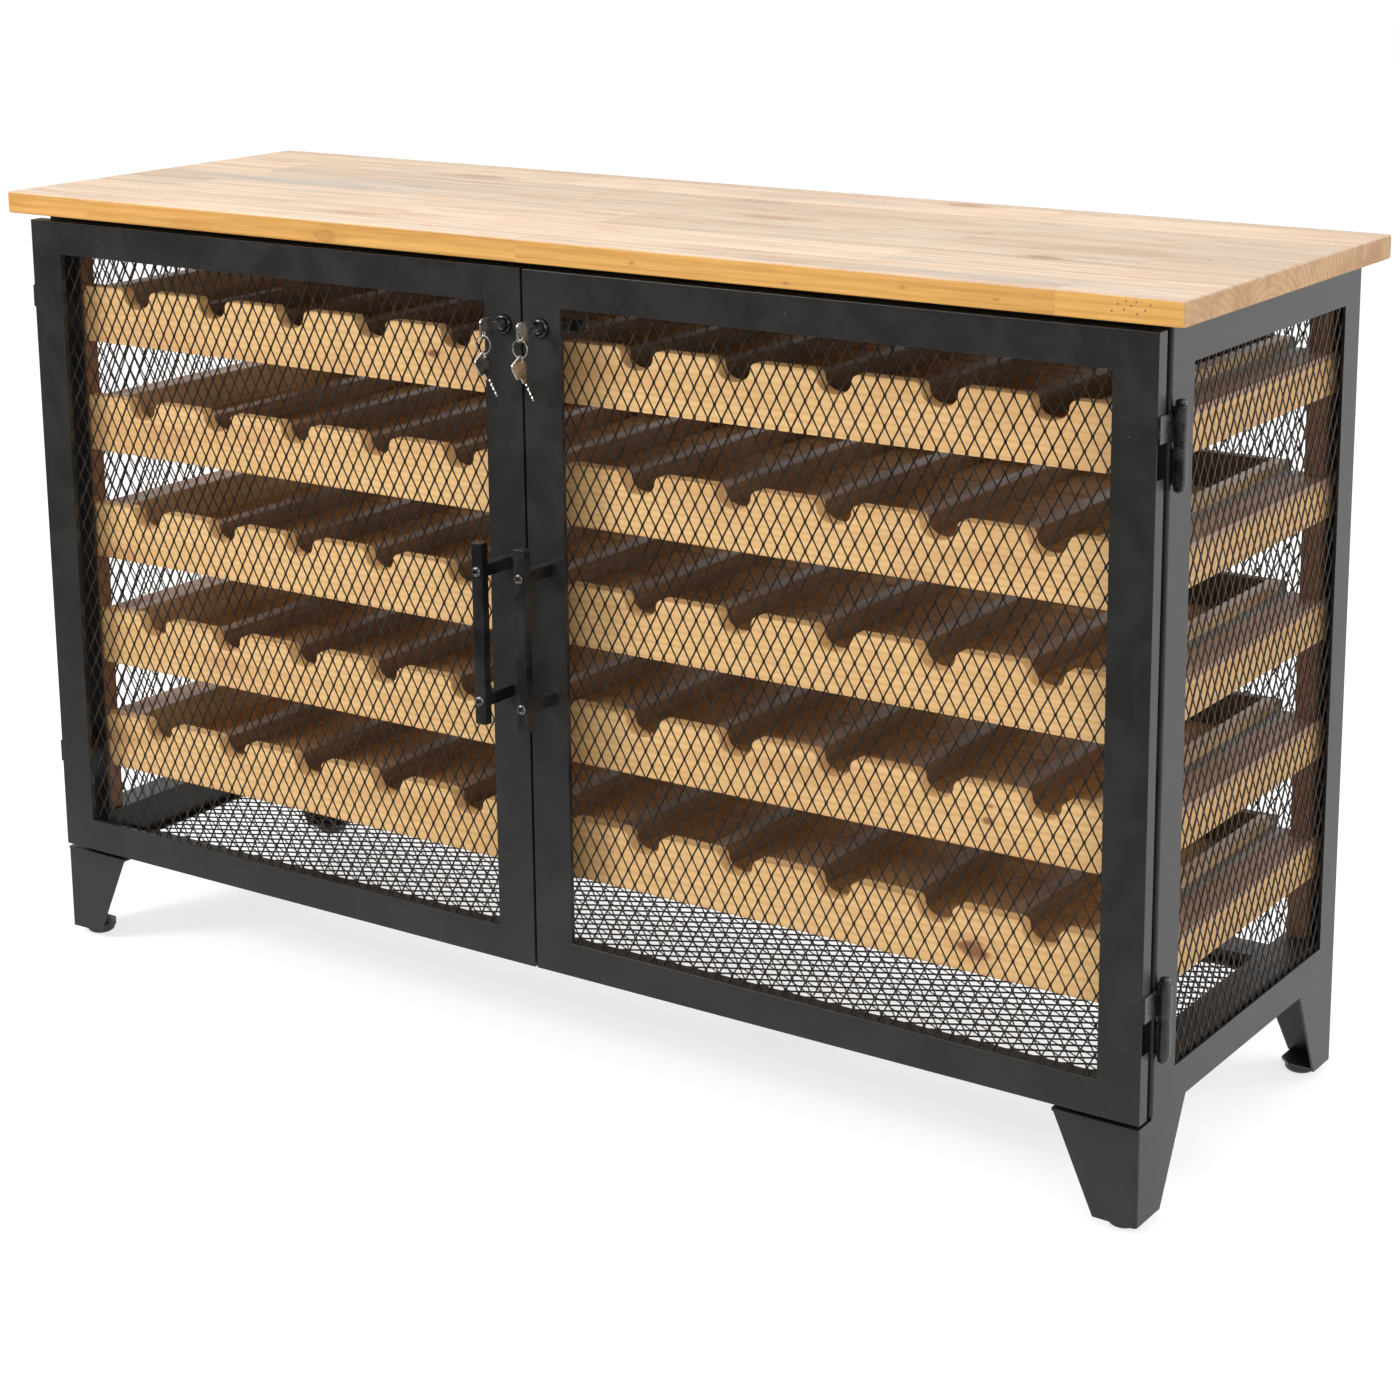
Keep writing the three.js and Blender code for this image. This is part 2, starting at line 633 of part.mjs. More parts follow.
// The mesh lies behind the return round the window, with its border out of sight
function doorMesh() {
  const edge = door.sheet + net.border;
  const x = [door.splitGap / 2 + door.centreStile - edge, doorOuterX - door.outerStile + edge];
  const z = [doorBottom + door.rail - edge, doorTop - door.rail + edge];
  const y = door.setback + door.innerReturn;
  return diamondNet(alongY, x, z, net.doorCell, [y, y + net.thickness]);
}

// A flat bar pull on two arms, with a domed screw through the bar into each arm
function pullHandle() {
  const x = [handle.offset - handle.width / 2, handle.offset + handle.width / 2];
  const front = [handleFront, handleFront + handle.depth];
  const z = [handleBottom, handleBottom + handle.height];
  const pieces = [block(x, front, z)];
  for (const height of [z[0] + handle.lowerArm, z[1] - handle.upperArm]) {
    pieces.push(block(
      [x[0] + handle.armEase, x[1] - handle.armEase], [front[0] + handle.depth / 2, door.setback],
      [height - handle.armHeight / 2, height + handle.armHeight / 2]));
    const r = handle.screwRadius;
    const seat = handle.screwProud + handle.armEase;
    const dome = handle.screwShares.map(([across, up]) => [r * across, handle.screwProud * up]);
    const head = turned([...dome, [r, seat], [0, seat]], [0, 0], 12);
    head.rotateX(-Math.PI / 2);
    head.translate(handle.offset, frontmost, height);
    pieces.push(head);
  }
  return join(...pieces);
}

// Turned pieces of the lock, made upright and then laid along Y
function laidAlongY(profile, segments) {
  const geometry = turned(profile, [0, 0], segments);
  geometry.rotateX(-Math.PI / 2);
  geometry.translate(lock.offset, 0, lockHeight);
  return geometry;
}

function lockHousing() {
  return laidAlongY([
    [lock.boreRadius, lockFront], [lock.radius * lock.faceShare, lockFront], [lock.radius, door.setback - lock.proud / 2],
    [lock.radius, door.setback], [lock.barrelRadius, door.setback], [lock.barrelRadius, lockBack],
    [lock.boreRadius, lockBack], [lock.boreRadius, lockFront],
  ], 20);
}

// A flat key in the plane X = 0: its bow is centred on the origin, its blade runs to +Y
// and the hole for the ring sits in a corner of the outer end, above or below
function flatKey(bladeLength, holeSign) {
  const half = key.bow / 2;
  const bow = roundedRectangle([-half, half], [-half, half], key.bowCorner);
  const hole = new THREE.Path();
  hole.absarc(-bowHole, holeSign * bowHole, key.holeRadius, 0, 2 * Math.PI, true);
  bow.holes.push(hole);
  const x = [-key.thickness / 2, key.thickness / 2];
  const neck = key.neckWidth / 2;
  const blade = key.bladeWidth / 2;
  const neckEnd = half + key.neckLength;
  const shank = outline([
    [half - overrun, -neck], [neckEnd, -neck], [neckEnd, -blade], [neckEnd + bladeLength - blade, -blade],
    [neckEnd + bladeLength, 0], [neckEnd + bladeLength - blade, blade], [neckEnd, blade], [neckEnd, neck],
    [half - overrun, neck],
  ]);
  return join(alongX(bow, x, 6), alongX(shank, x, 3));
}

const bowHole = key.bow / 2 - key.holeInset;
const keyY = door.setback - key.reach + key.bow / 2;
const ringHang = { y: keyY - bowHole, z: lockHeight - bowHole - ring.seat };
const spareHang = { y: ringHang.y, z: ringHang.z - 2 * ring.radius };

// The plug turns in the housing, with the cam on its back end and the key in its front
function lockPlug() {
  const camY = [lockBack + running, lockBack + running + lock.camThickness];
  const plug = laidAlongY([
    [0, lockFront], [lock.plugRadius, lockFront], [lock.plugRadius, camY[1]], [0, camY[1]],
  ], 16);
  const halfCam = lock.camWidth / 2;
  const cam = alongY(roundedRectangle(
    [lock.offset - halfCam, lock.offset + lock.camLength], [lockHeight - halfCam, lockHeight + halfCam],
    halfCam * lock.camCornerShare,
  ), camY, 3);
  const inserted = flatKey(key.insertedLength, -1);
  inserted.translate(lock.offset, keyY, lockHeight);
  return join(plug, cam, inserted);
}

// The split ring hangs through the hole in the bow of the inserted key
function keyRing() {
  const geometry = new THREE.TorusGeometry(ring.radius, ring.wire, 6, 20);
  geometry.rotateX(Math.PI / 2);
  geometry.translate(lock.offset, ringHang.y, ringHang.z - ring.radius);
  return geometry;
}

// The spare key hangs by the corner of its bow, with its blade leaning towards the door
function spareKey() {
  const geometry = flatKey(key.spareLength, 1);
  geometry.translate(0, bowHole, -bowHole);
  geometry.rotateX(-THREE.MathUtils.degToRad(key.spareLean));
  geometry.translate(lock.offset, spareHang.y, spareHang.z - ring.seat);
  return geometry;
}

// The right door stands for both: the left one is its mirror image
function doorAssembly(side) {
  const group = new THREE.Group();
  const add = (name, geometry, material) => group.add(piece(`${side.name}_${name}`, side.place(geometry), material));
  add("door_frame", doorFrame(), finishes.carcassSteel);
  add("door_mesh", doorMesh(), finishes.meshSteel);
  add("handle", pullHandle(), finishes.handleSteel);
  for (const [level, z] of Object.entries(hingeHeights)) {
    add(`${level}_hinge_door_half`, hingeDoorHalf(z), finishes.carcassSteel);
    add(`${level}_hinge_frame_half`, hingeFrameHalf(z), finishes.carcassSteel);
  }
  add("lock_housing", lockHousing(), finishes.nickel);
  add("lock_plug_and_key", lockPlug(), finishes.nickel);
  add("key_ring", keyRing(), finishes.nickel);
  add("spare_key", spareKey(), finishes.nickel);
  return group;
}

const cabinet = new THREE.Group();
cabinet.add(topSlab(), carcassSteelwork(), footGlides(), bottleRack());
for (const side of sides) cabinet.add(doorAssembly(side));
cabinet.position.y = -(slab.depth + frontmost) / 2;

export default cabinet;
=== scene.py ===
# Wine cabinet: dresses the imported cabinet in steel, expanded metal and pine.
# Lengths in the dictionaries are millimetres in the cabinet's own frame; meshes are written in metres.
# Scales and stretches of patterns are per metre, as Blender's textures take them.
import itertools
import math

import bmesh
import bpy
import numpy as np
from mathutils import Matrix, Vector


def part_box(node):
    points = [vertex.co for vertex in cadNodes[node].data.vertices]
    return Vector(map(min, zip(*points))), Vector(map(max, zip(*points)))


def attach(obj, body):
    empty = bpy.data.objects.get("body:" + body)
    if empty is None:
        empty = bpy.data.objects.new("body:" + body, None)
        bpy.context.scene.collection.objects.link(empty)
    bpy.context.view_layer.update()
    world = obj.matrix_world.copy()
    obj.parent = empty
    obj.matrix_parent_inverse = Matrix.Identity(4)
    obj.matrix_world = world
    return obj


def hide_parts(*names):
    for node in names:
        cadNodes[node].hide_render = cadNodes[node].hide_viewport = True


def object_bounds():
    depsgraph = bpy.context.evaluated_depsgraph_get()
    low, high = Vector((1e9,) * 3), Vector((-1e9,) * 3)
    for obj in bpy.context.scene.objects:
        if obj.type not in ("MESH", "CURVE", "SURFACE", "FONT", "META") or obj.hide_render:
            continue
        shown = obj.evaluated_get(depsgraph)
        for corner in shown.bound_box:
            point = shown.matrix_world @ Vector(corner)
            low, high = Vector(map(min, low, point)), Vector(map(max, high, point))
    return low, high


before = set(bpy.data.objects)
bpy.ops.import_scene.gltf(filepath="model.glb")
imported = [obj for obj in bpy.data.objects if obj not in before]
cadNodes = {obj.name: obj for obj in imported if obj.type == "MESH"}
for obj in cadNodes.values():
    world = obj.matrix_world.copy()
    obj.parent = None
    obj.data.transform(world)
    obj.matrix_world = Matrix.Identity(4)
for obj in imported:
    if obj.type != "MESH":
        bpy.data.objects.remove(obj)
cadLow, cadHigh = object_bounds()
mm = 0.001
sides = (("left", -1), ("right", 1))
cabinetCorners = list(itertools.product(("left", "right"), ("front", "back")))
print("frame loaded:", len(cadNodes), "nodes")


def boxOf(node):
    low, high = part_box(node)
    return np.array(low) / mm, np.array(high) / mm


# A dictionary whose entries can be read as names too, such as look.width.
class entries(dict):
    __getattr__ = dict.__getitem__


# A part is (points, quads, caps): arrays of places and of four-cornered faces, and a list of other faces.
def joined(parts):
    points, quads, caps, start = [], [], [], 0
    for somePoints, someQuads, someCaps in parts:
        points.append(somePoints)
        quads.append(np.asarray(someQuads, int).reshape(-1, 4) + start)
        caps.extend([[corner + start for corner in cap] for cap in someCaps])
        start += len(somePoints)
    return np.concatenate(points), np.concatenate(quads), caps


# Faces of a grid of rings: ring r, corner c joins ring r + 1, corner c + 1; the corners close on themselves.
def ringQuads(rings, corners, closed=False):
    ring, corner = np.meshgrid(np.arange(rings if closed else rings - 1), np.arange(corners), indexing="ij")
    nextRing, nextCorner = (ring + 1) % rings, (corner + 1) % corners
    return np.stack([ring * corners + corner, ring * corners + nextCorner,
                     nextRing * corners + nextCorner, nextRing * corners + corner], axis=-1).reshape(-1, 4)


# Turns (u, v, w) into (x, y, z) with w along the named axis. Along y the faces turn over, to face outwards.
def laid(points, quads, caps, along):
    order = {"x": (2, 0, 1), "y": (0, 2, 1), "z": (0, 1, 2)}[along]
    if along == "y":
        quads, caps = quads[:, ::-1], [cap[::-1] for cap in caps]
    return points[..., order], quads, caps


# Angles from 0 to 90 degrees, for the points of a rounding.
def quarterArc(count):
    return np.linspace(0, math.pi / 2, count)


# Moves every corner of a counter-clockwise outline inwards along its mitre: p - d * (n0 + n1) / (1 + n0.n1).
def insetOutline(outline, distance):
    before = outline - np.roll(outline, 1, axis=0)
    after = np.roll(outline, -1, axis=0) - outline
    normals = []
    for edge in (before, after):
        across = np.stack([edge[:, 1], -edge[:, 0]], axis=1)
        normals.append(across / np.linalg.norm(across, axis=1, keepdims=True))
    share = 1 + np.sum(normals[0] * normals[1], axis=1, keepdims=True)
    return outline - distance * (normals[0] + normals[1]) / share


# A plate: the outline goes from low to high along an axis, and at both ends it draws in on a quarter circle.
def outlineBody(outline, low, high, ease, along, steps=3):
    angle = quarterArc(steps + 1)
    inset = ease * (1 - np.sin(angle))
    rise = ease * (1 - np.cos(angle))
    insets = np.concatenate([inset, inset[::-1]])
    heights = np.concatenate([low + rise, high - rise[::-1]])
    count = len(outline)
    rings = np.stack([np.column_stack([insetOutline(outline, distance), np.full(count, height)])
                      for distance, height in zip(insets, heights)])
    last = (len(rings) - 1) * count
    caps = [list(range(count - 1, -1, -1)), list(range(last, last + count))]
    return laid(rings.reshape(-1, 3), ringQuads(len(rings), count), caps, along)


# A rectangle whose corners are quarter circles: corner centre + r * (cos a, sin a).
def roundedOutline(lowU, highU, lowV, highV, radius, steps=3):
    arcs = []
    for turn, (u, v) in enumerate([(highU - radius, highV - radius), (lowU + radius, highV - radius),
                                   (lowU + radius, lowV + radius), (highU - radius, lowV + radius)]):
        angle = quarterArc(steps + 1) + turn * math.pi / 2
        arcs.append(np.column_stack([u + radius * np.cos(angle), v + radius * np.sin(angle)]))
    return np.concatenate(arcs)


endEase = 0.92  # a bar's ends are eased by this share of its long edges


# A board or bar with every edge eased: a rounded rectangle carried along its own axis.
def easedBar(low, high, ease, along):
    axis = "xyz".index(along)
    u, v = [k for k in range(3) if k != axis]
    outline = roundedOutline(low[u], high[u], low[v], high[v], ease)
    return outlineBody(outline, low[axis], high[axis], ease * endEase, along)


# A turned shape: each (radius, height) of the profile goes round an axis, and a radius of 0 is a pole.
def turnedBody(profile, centre, along, segments=32, closed=False):
    profile = np.asarray(profile, float)
    angle = np.arange(segments) * 2 * math.pi / segments
    firstPole, lastPole = profile[0, 0] == 0 and not closed, profile[-1, 0] == 0 and not closed
    body = profile[int(firstPole):len(profile) - int(lastPole)]
    rings = np.stack([body[:, :1] * np.cos(angle), body[:, :1] * np.sin(angle),
                      np.repeat(body[:, 1:], segments, axis=1)], axis=-1)
    points, caps = rings.reshape(-1, 3), []
    here = np.arange(segments)
    beyond = (here + 1) % segments
    lastRing = (len(body) - 1) * segments
    for pole, height, start, before, after in ((firstPole, profile[0, 1], 0, beyond, here),
                                               (lastPole, profile[-1, 1], lastRing, here, beyond)):
        if pole:
            caps += [[len(points), start + int(a), start + int(b)] for a, b in zip(before, after)]
            points = np.vstack([points, [0, 0, height]])
    points, quads, caps = laid(points, ringQuads(len(body), segments, closed), caps, along)
    return points + np.asarray(centre), quads, caps


# A round wire along an open path near the plane square to the normal: p + r * (cos a * across + sin a * up).
def wireAlong(path, radius, normal, corners=10):
    tangent = np.gradient(path, axis=0)
    tangent /= np.linalg.norm(tangent, axis=1, keepdims=True)
    across = np.cross(tangent, np.asarray(normal, float))
    across /= np.linalg.norm(across, axis=1, keepdims=True)
    upward = np.cross(across, tangent)
    angle = (np.arange(corners) * 2 * math.pi / corners)[None, :, None]
    rings = path[:, None, :] + radius * (np.cos(angle) * across[:, None] + np.sin(angle) * upward[:, None])
    last = len(path) * corners - 1
    caps = [list(range(corners)), list(range(last, last - corners, -1))]
    return rings.reshape(-1, 3), ringQuads(len(path), corners)[:, ::-1], caps


boardNumbers = itertools.count(1)
logCut = entries(along=4000, sideways=60, fromHeart=(35, 90))  # where in its log a board may lie


# Coordinates that follow the grain: the first runs along the board, and each board starts elsewhere.
def grainOf(points, along):
    look = logCut
    random = np.random.default_rng(next(boardNumbers))
    axis = "xyz".index(along)
    order = [axis] + [k for k in range(3) if k != axis]
    middle = (points.max(axis=0) + points.min(axis=0)) / 2
    local = (points - middle)[:, order]
    shift = np.array([random.uniform(-look.along, look.along), random.uniform(-look.sideways, look.sideways),
                      random.choice([-1, 1]) * random.uniform(*look.fromHeart)])
    return (local + shift) * mm


def addObject(name, data):
    made = bpy.data.objects.new(name, data)
    bpy.context.scene.collection.objects.link(made)
    return made


sharpFrom, evenWeight = 50, 100  # degrees at which an edge stays sharp, and how much large faces count


def dress(name, mesh, finish, body, nodes):
    piece = addObject(name, mesh)
    mesh.materials.clear()
    mesh.materials.append(finishes[finish])
    even = piece.modifiers.new("evenShading", "WEIGHTED_NORMAL")
    even.keep_sharp = True
    even.weight = evenWeight
    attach(piece, body)
    if nodes:
        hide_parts(*nodes)
    return piece


def addPiece(name, part, finish, body, slot, *nodes, grain=None):
    points, quads, caps = part
    mesh = bpy.data.meshes.new(name)
    mesh.from_pydata((points * mm).tolist(), [], quads.tolist() + caps)
    mesh.update()
    mesh.shade_smooth()
    mesh.set_sharp_from_angle(angle=math.radians(sharpFrom))
    if grain is not None:
        layer = mesh.attributes.new("grain", "FLOAT_VECTOR", "POINT")
        layer.data.foreach_set("vector", grain.astype(np.float32).ravel())
    dress(name, mesh, finish, body, nodes)


# A wooden piece made of boards: each board is (part, the axis that its grain follows).
def addWood(name, boards, finish, slot, *nodes):
    grain = np.concatenate([grainOf(part[0], along) for part, along in boards])
    addPiece(name, joined([part for part, along in boards]), finish, "cabinet", slot, *nodes, grain=grain)


foldedShape = entries(mergeUnder=1e-5, flatUnder=2, bendFrom=30, bendSteps=2)  # metres, then degrees


# Folded sheet keeps the shape of its CAD node: a merged copy of it gets rounded bends.
def addFolded(name, node, bend, body):
    look = foldedShape
    mesh = cadNodes[node].data.copy()
    mesh.name = name
    work = bmesh.new()
    work.from_mesh(mesh)
    bmesh.ops.remove_doubles(work, verts=work.verts, dist=look.mergeUnder)
    flat = math.radians(look.flatUnder)
    bmesh.ops.dissolve_limit(work, angle_limit=flat, verts=work.verts, edges=work.edges)
    work.to_mesh(mesh)
    work.free()
    if "custom_normal" in mesh.attributes:
        mesh.attributes.remove(mesh.attributes["custom_normal"])
    mesh.shade_smooth()
    piece = dress(name, mesh, "charcoalSteel", body, (node,))
    rounding = piece.modifiers.new("foldedEdges", "BEVEL")
    rounding.width = bend * mm
    rounding.segments = look.bendSteps
    rounding.limit_method = "ANGLE"
    rounding.angle_limit = math.radians(look.bendFrom)
    rounding.use_clamp_overlap = True
    piece.modifiers.move(1, 0)


def isSocket(value):
    return isinstance(value, bpy.types.NodeSocket)


# Puts a value on a socket, or joins the socket that the value comes from. A colour is three numbers.
def feed(socket, value):
    if isSocket(value):
        socket.id_data.links.new(value, socket)
    elif socket.type == "RGBA":
        socket.default_value = (*value, 1.0)
    else:
        socket.default_value = value


# Adds a node to the tree that its inputs come from, or to the given one.
def put(kind, inputs, tree=None, **settings):
    tree = tree or next(value.id_data for value in inputs.values() if isSocket(value))
    made = tree.nodes.new("ShaderNode" + kind)
    for key, value in settings.items():
        setattr(made, key, value)
    for key, value in inputs.items():
        feed(made.inputs[key], value)
    return made


def calc(operation, a, b=0.0):
    return put("Math", {0: a, 1: b}, operation=operation).outputs[0]


def times(a, b):
    return calc("MULTIPLY", a, b)


def vectorCalc(operation, a, b):
    return put("VectorMath", {0: a, 1: b}, operation=operation).outputs[0]


def allThree(value):
    return put("CombineXYZ", {0: value, 1: value, 2: value}).outputs[0]


def partsOf(vector):
    return put("SeparateXYZ", {"Vector": vector}).outputs


def redOf(tone):
    return put("SeparateColor", {"Color": tone}).outputs[0]


def remap(value, fromLow, fromHigh, toLow=0.0, toHigh=1.0):
    inputs = {"Value": value, "From Min": fromLow, "From Max": fromHigh, "To Min": toLow, "To Max": toHigh}
    return put("MapRange", inputs, interpolation_type="SMOOTHSTEP").outputs[0]


def mixed(share, a, b, blend="MIX"):
    return put("Mix", {0: share, 6: a, 7: b}, data_type="RGBA", blend_type=blend).outputs[2]


def noise(vector, scale, detail=2.0, roughness=0.5, distortion=0.0):
    return put("TexNoise", {"Vector": vector, "Scale": scale, "Detail": detail, "Roughness": roughness,
                            "Distortion": distortion}).outputs["Fac"]


# Noise with its own number of waves per metre along each axis.
def stretched(vector, waves, detail, roughness):
    return noise(vectorCalc("MULTIPLY", vector, waves), 1.0, detail, roughness)


# Scattered cells: how far the nearest one's middle is, and whether chance picks it.
def scattered(vector, scale, share):
    cells = put("TexVoronoi", {"Vector": vector, "Scale": scale}).outputs
    return cells["Distance"], calc("LESS_THAN", redOf(cells["Color"]), share)


def newGroup(name, vectors, numbers):
    group = bpy.data.node_groups.new(name, "ShaderNodeTree")
    for kind, labels in (("Vector", vectors), ("Float", numbers)):
        for label in labels:
            group.interface.new_socket(label, in_out="INPUT", socket_type="NodeSocket" + kind)
    return group, group.nodes.new("NodeGroupInput").outputs


def closeGroup(group, masks):
    for label in masks:
        group.interface.new_socket(label, in_out="OUTPUT", socket_type="NodeSocketFloat")
    out = group.nodes.new("NodeGroupOutput").inputs
    for label, mask in masks.items():
        feed(out[label], mask)
    return group


def useGroup(group, inputs):
    return put("Group", inputs, node_tree=group).outputs


def emptyTree(owner):
    owner.use_nodes = True
    owner.node_tree.nodes.clear()
    return owner.node_tree


def newMaterial(name):
    material = bpy.data.materials.new(name)
    tree = emptyTree(material)
    shader = put("BsdfPrincipled", {}, tree)
    put("OutputMaterial", {0: shader.outputs[0]})
    return material, tree, shader


def objectPlace(tree):
    return put("TexCoord", {}, tree).outputs["Object"]


# Every finish ends in the same four sockets; relief is the height, the bump's strength and its depth.
def finishSurface(shader, tone, rough, specular, relief):
    height, strength, depth = relief
    bump = put("Bump", {"Height": height, "Strength": strength, "Distance": depth * mm})
    for label, value in (("Base Color", tone), ("Roughness", rough), ("Specular IOR Level", specular),
                         ("Normal", bump.outputs[0])):
        feed(shader.inputs[label], value)


# A noise here is (waves per metre along and across the grain, detail, roughness).
logLook = entries(
    knotCells=(3.1, 11.0, 11.0), knotReach=(0.34, 0.02), knotCore=(0.085, 0.045), knotPush=0.012,
    slim=(0.07, 1.0, 1.0), driftScale=9.0, ringScale=0.314, ringWobble=1.2, ringDetail=2.0,
    fibres=((16.0, 620.0, 620.0), 4.0, 0.65), streaks=((2.2, 46.0, 46.0), 3.0, 0.55),
    blotch=((4.0, 15.0, 15.0), 2.0, 0.5),
)


# Growth rings round a wandering heart, fine fibres along the board and a few knots that push the rings aside.
def makeWoodGroup():
    look = logLook
    group, given = newGroup("logGrain", ["Grain"], ["Ring Gap", "Wander", "Knots"])
    grain = given["Grain"]
    far, chosen = scattered(vectorCalc("MULTIPLY", grain, look.knotCells), 1.0, given["Knots"])
    near = times(remap(far, *look.knotReach), chosen)
    knot = times(remap(far, *look.knotCore), chosen)
    slim = vectorCalc("MULTIPLY", grain, look.slim)
    drift = put("TexNoise", {"Vector": slim, "Scale": look.driftScale}).outputs["Color"]
    drift = vectorCalc("SUBTRACT", drift, (0.5, 0.5, 0.5))
    bent = vectorCalc("ADD", slim, vectorCalc("MULTIPLY", drift, allThree(given["Wander"])))
    push = put("CombineXYZ", {1: times(near, look.knotPush), 2: times(near, look.knotPush)})
    bent = vectorCalc("ADD", bent, push.outputs[0])
    scale = calc("DIVIDE", look.ringScale, given["Ring Gap"])
    rings = put("TexWave", {"Vector": bent, "Scale": scale, "Distortion": look.ringWobble,
                            "Detail Scale": look.ringDetail}, wave_type="RINGS")
    return closeGroup(group, {
        "Rings": rings.outputs["Fac"], "Fibres": stretched(grain, *look.fibres), "Knot": knot,
        "Streaks": stretched(grain, *look.streaks), "Blotch": stretched(grain, *look.blotch)})


markLook = entries(ragged=((30.0, 110.0, 110.0), 3.0, 0.6), raggedness=0.9, ripples=11.0, rippleDepth=0.25,
                   halo=(1.35, 0.3), core=(0.62, 0.3))


# A mark at one place in the wood: the distance from its centre, drawn out along x and roughened, gives a core
# and a ringed halo.
def makeMarkGroup():
    look = markLook
    group, given = newGroup("woodMark", ["Place", "Centre"], ["Size", "Stretch"])
    away = vectorCalc("SUBTRACT", given["Place"], given["Centre"])
    squeeze = put("CombineXYZ", {0: given["Stretch"], 1: 1.0, 2: 1.0}).outputs[0]
    away = vectorCalc("DIVIDE", vectorCalc("MULTIPLY", away, squeeze), allThree(given["Size"]))
    far = put("VectorMath", {0: away}, operation="LENGTH").outputs["Value"]
    ragged = calc("SUBTRACT", stretched(given["Place"], *look.ragged), 0.5)
    far = calc("ADD", far, times(ragged, look.raggedness))
    wave = calc("ADD", calc("SINE", times(far, look.ripples)), 1.0)
    ripple = calc("SUBTRACT", 1.0, times(wave, look.rippleDepth))
    return closeGroup(group, {"Core": remap(far, *look.core), "Halo": times(remap(far, *look.halo), ripple)})


smudgeLook = entries(cloud=(5.0, 0.6, 0.4), skinScale=1400.0, rub=((110.0, 110.0, 12.0), 4.0, 0.6),
                     speckScale=65.0, speckShare=0.16, speckEdge=(0.055, 0.02))


# Cloudy smudges, a fine skin, upright pale streaks that are partly rubbed wear and partly painted sheen, and
# specks of dust for lacquered or bare steel.
def makeSmudgeGroup():
    look = smudgeLook
    group, given = newGroup("steelSmudges", ["Place"], ["Size"])
    place = given["Place"]
    far, chosen = scattered(place, look.speckScale, look.speckShare)
    return closeGroup(group, {
        "Cloud": noise(place, calc("DIVIDE", 1.0, given["Size"]), *look.cloud),
        "Skin": noise(place, look.skinScale), "RubAndSheen": stretched(place, *look.rub),
        "Specks": times(remap(far, *look.speckEdge), chosen)})


logGrain = makeWoodGroup()
woodMark = makeMarkGroup()
steelSmudges = makeSmudgeGroup()

plainWood = entries(
    ringGap=9.0, wander=10.0, knots=0.1, ringShare=0.5, streakShare=0.5, fibreShare=0.4,
    blotchShare=0.4, roughness=0.5, relief=0.2, specular=0.5,
)
# What isn't given is as in plainWood. A mark is (x, y, z, size, stretch, strength of core, strength of halo).
woodFinishes = entries(
    boardPine=entries(
        light=(0.90, 0.578, 0.252), dark=(0.68, 0.360, 0.120), fibre=(0.93, 0.68, 0.37),
        knot=(0.24, 0.095, 0.035), blotch=(0.60, 0.28, 0.115), ringGap=7.5, knots=0.12,
        ringShare=0.45, fibreShare=0.32, blotchShare=0.34, roughness=0.52, relief=0.18,
        marks=(
            (520, -175, 239, 17, 0.55, 0.9, 0.75), (534, -175, 376, 8, 0.7, 0.8, 0.5),
            (537, -175, 392, 5, 0.7, 0.6, 0.4), (455, -175, 612, 13, 0.4, 0.0, 0.6),
            (-150, -175, 774, 9, 0.6, 0.9, 0.6), (-646, -175, 482, 15, 0.3, 0.1, 0.7),
            (-662, -175, 253, 14, 0.3, 0.1, 0.7), (-560, -175, 636, 12, 0.3, 0.0, 0.6),
            (-480, -175, 372, 13, 0.3, 0.0, 0.6)),
    ),
    beamPine=entries(
        light=(0.74, 0.45, 0.19), dark=(0.52, 0.27, 0.09), fibre=(0.80, 0.56, 0.30),
        knot=(0.24, 0.10, 0.035), blotch=(0.50, 0.24, 0.10), ringGap=7.5, ringShare=0.45,
        fibreShare=0.30, relief=0.18,
        # The band paints shade on each beam: a darker tone in a strip bandTall under bandTop, repeated every
        # bandPitch.
        band=(0.40, 0.245, 0.175), bandTop=794.5, bandPitch=131, bandTall=7, bandShare=0.85,
    ),
    deckWood=entries(
        light=(0.60, 0.350, 0.145), dark=(0.38, 0.205, 0.078), fibre=(0.68, 0.45, 0.22),
        knot=(0.10, 0.05, 0.020), blotch=(0.31, 0.165, 0.072), wander=12.0, knots=0.2,
        blotchShare=0.5, roughness=0.55, relief=0.25, specular=0.2,
    ),
    slatWood=entries(
        light=(0.29, 0.168, 0.084), dark=(0.17, 0.092, 0.043), fibre=(0.35, 0.22, 0.12),
        knot=(0.08, 0.040, 0.018), blotch=(0.15, 0.080, 0.038), roughness=0.42,
    ),
    railWood=entries(
        light=(0.58, 0.38, 0.19), dark=(0.38, 0.225, 0.10), fibre=(0.68, 0.49, 0.29),
        knot=(0.10, 0.05, 0.02), blotch=(0.28, 0.16, 0.08), roughness=0.34,
    ),
    # The back rail's wood is very dark: painted shade on its shadowed face.
    backRailPaintedShade=entries(
        light=(0.125, 0.070, 0.040), dark=(0.070, 0.037, 0.020), fibre=(0.16, 0.095, 0.058),
        knot=(0.03, 0.015, 0.008), blotch=(0.060, 0.032, 0.018), specular=0.3,
    ),
    postWood=entries(
        light=(0.27, 0.125, 0.060), dark=(0.15, 0.066, 0.031), fibre=(0.31, 0.165, 0.088),
        knot=(0.07, 0.025, 0.012), blotch=(0.16, 0.068, 0.031), ringGap=7.0, wander=8.0,
        streakShare=0.4, blotchShare=0.3, relief=0.25,
    ),
)

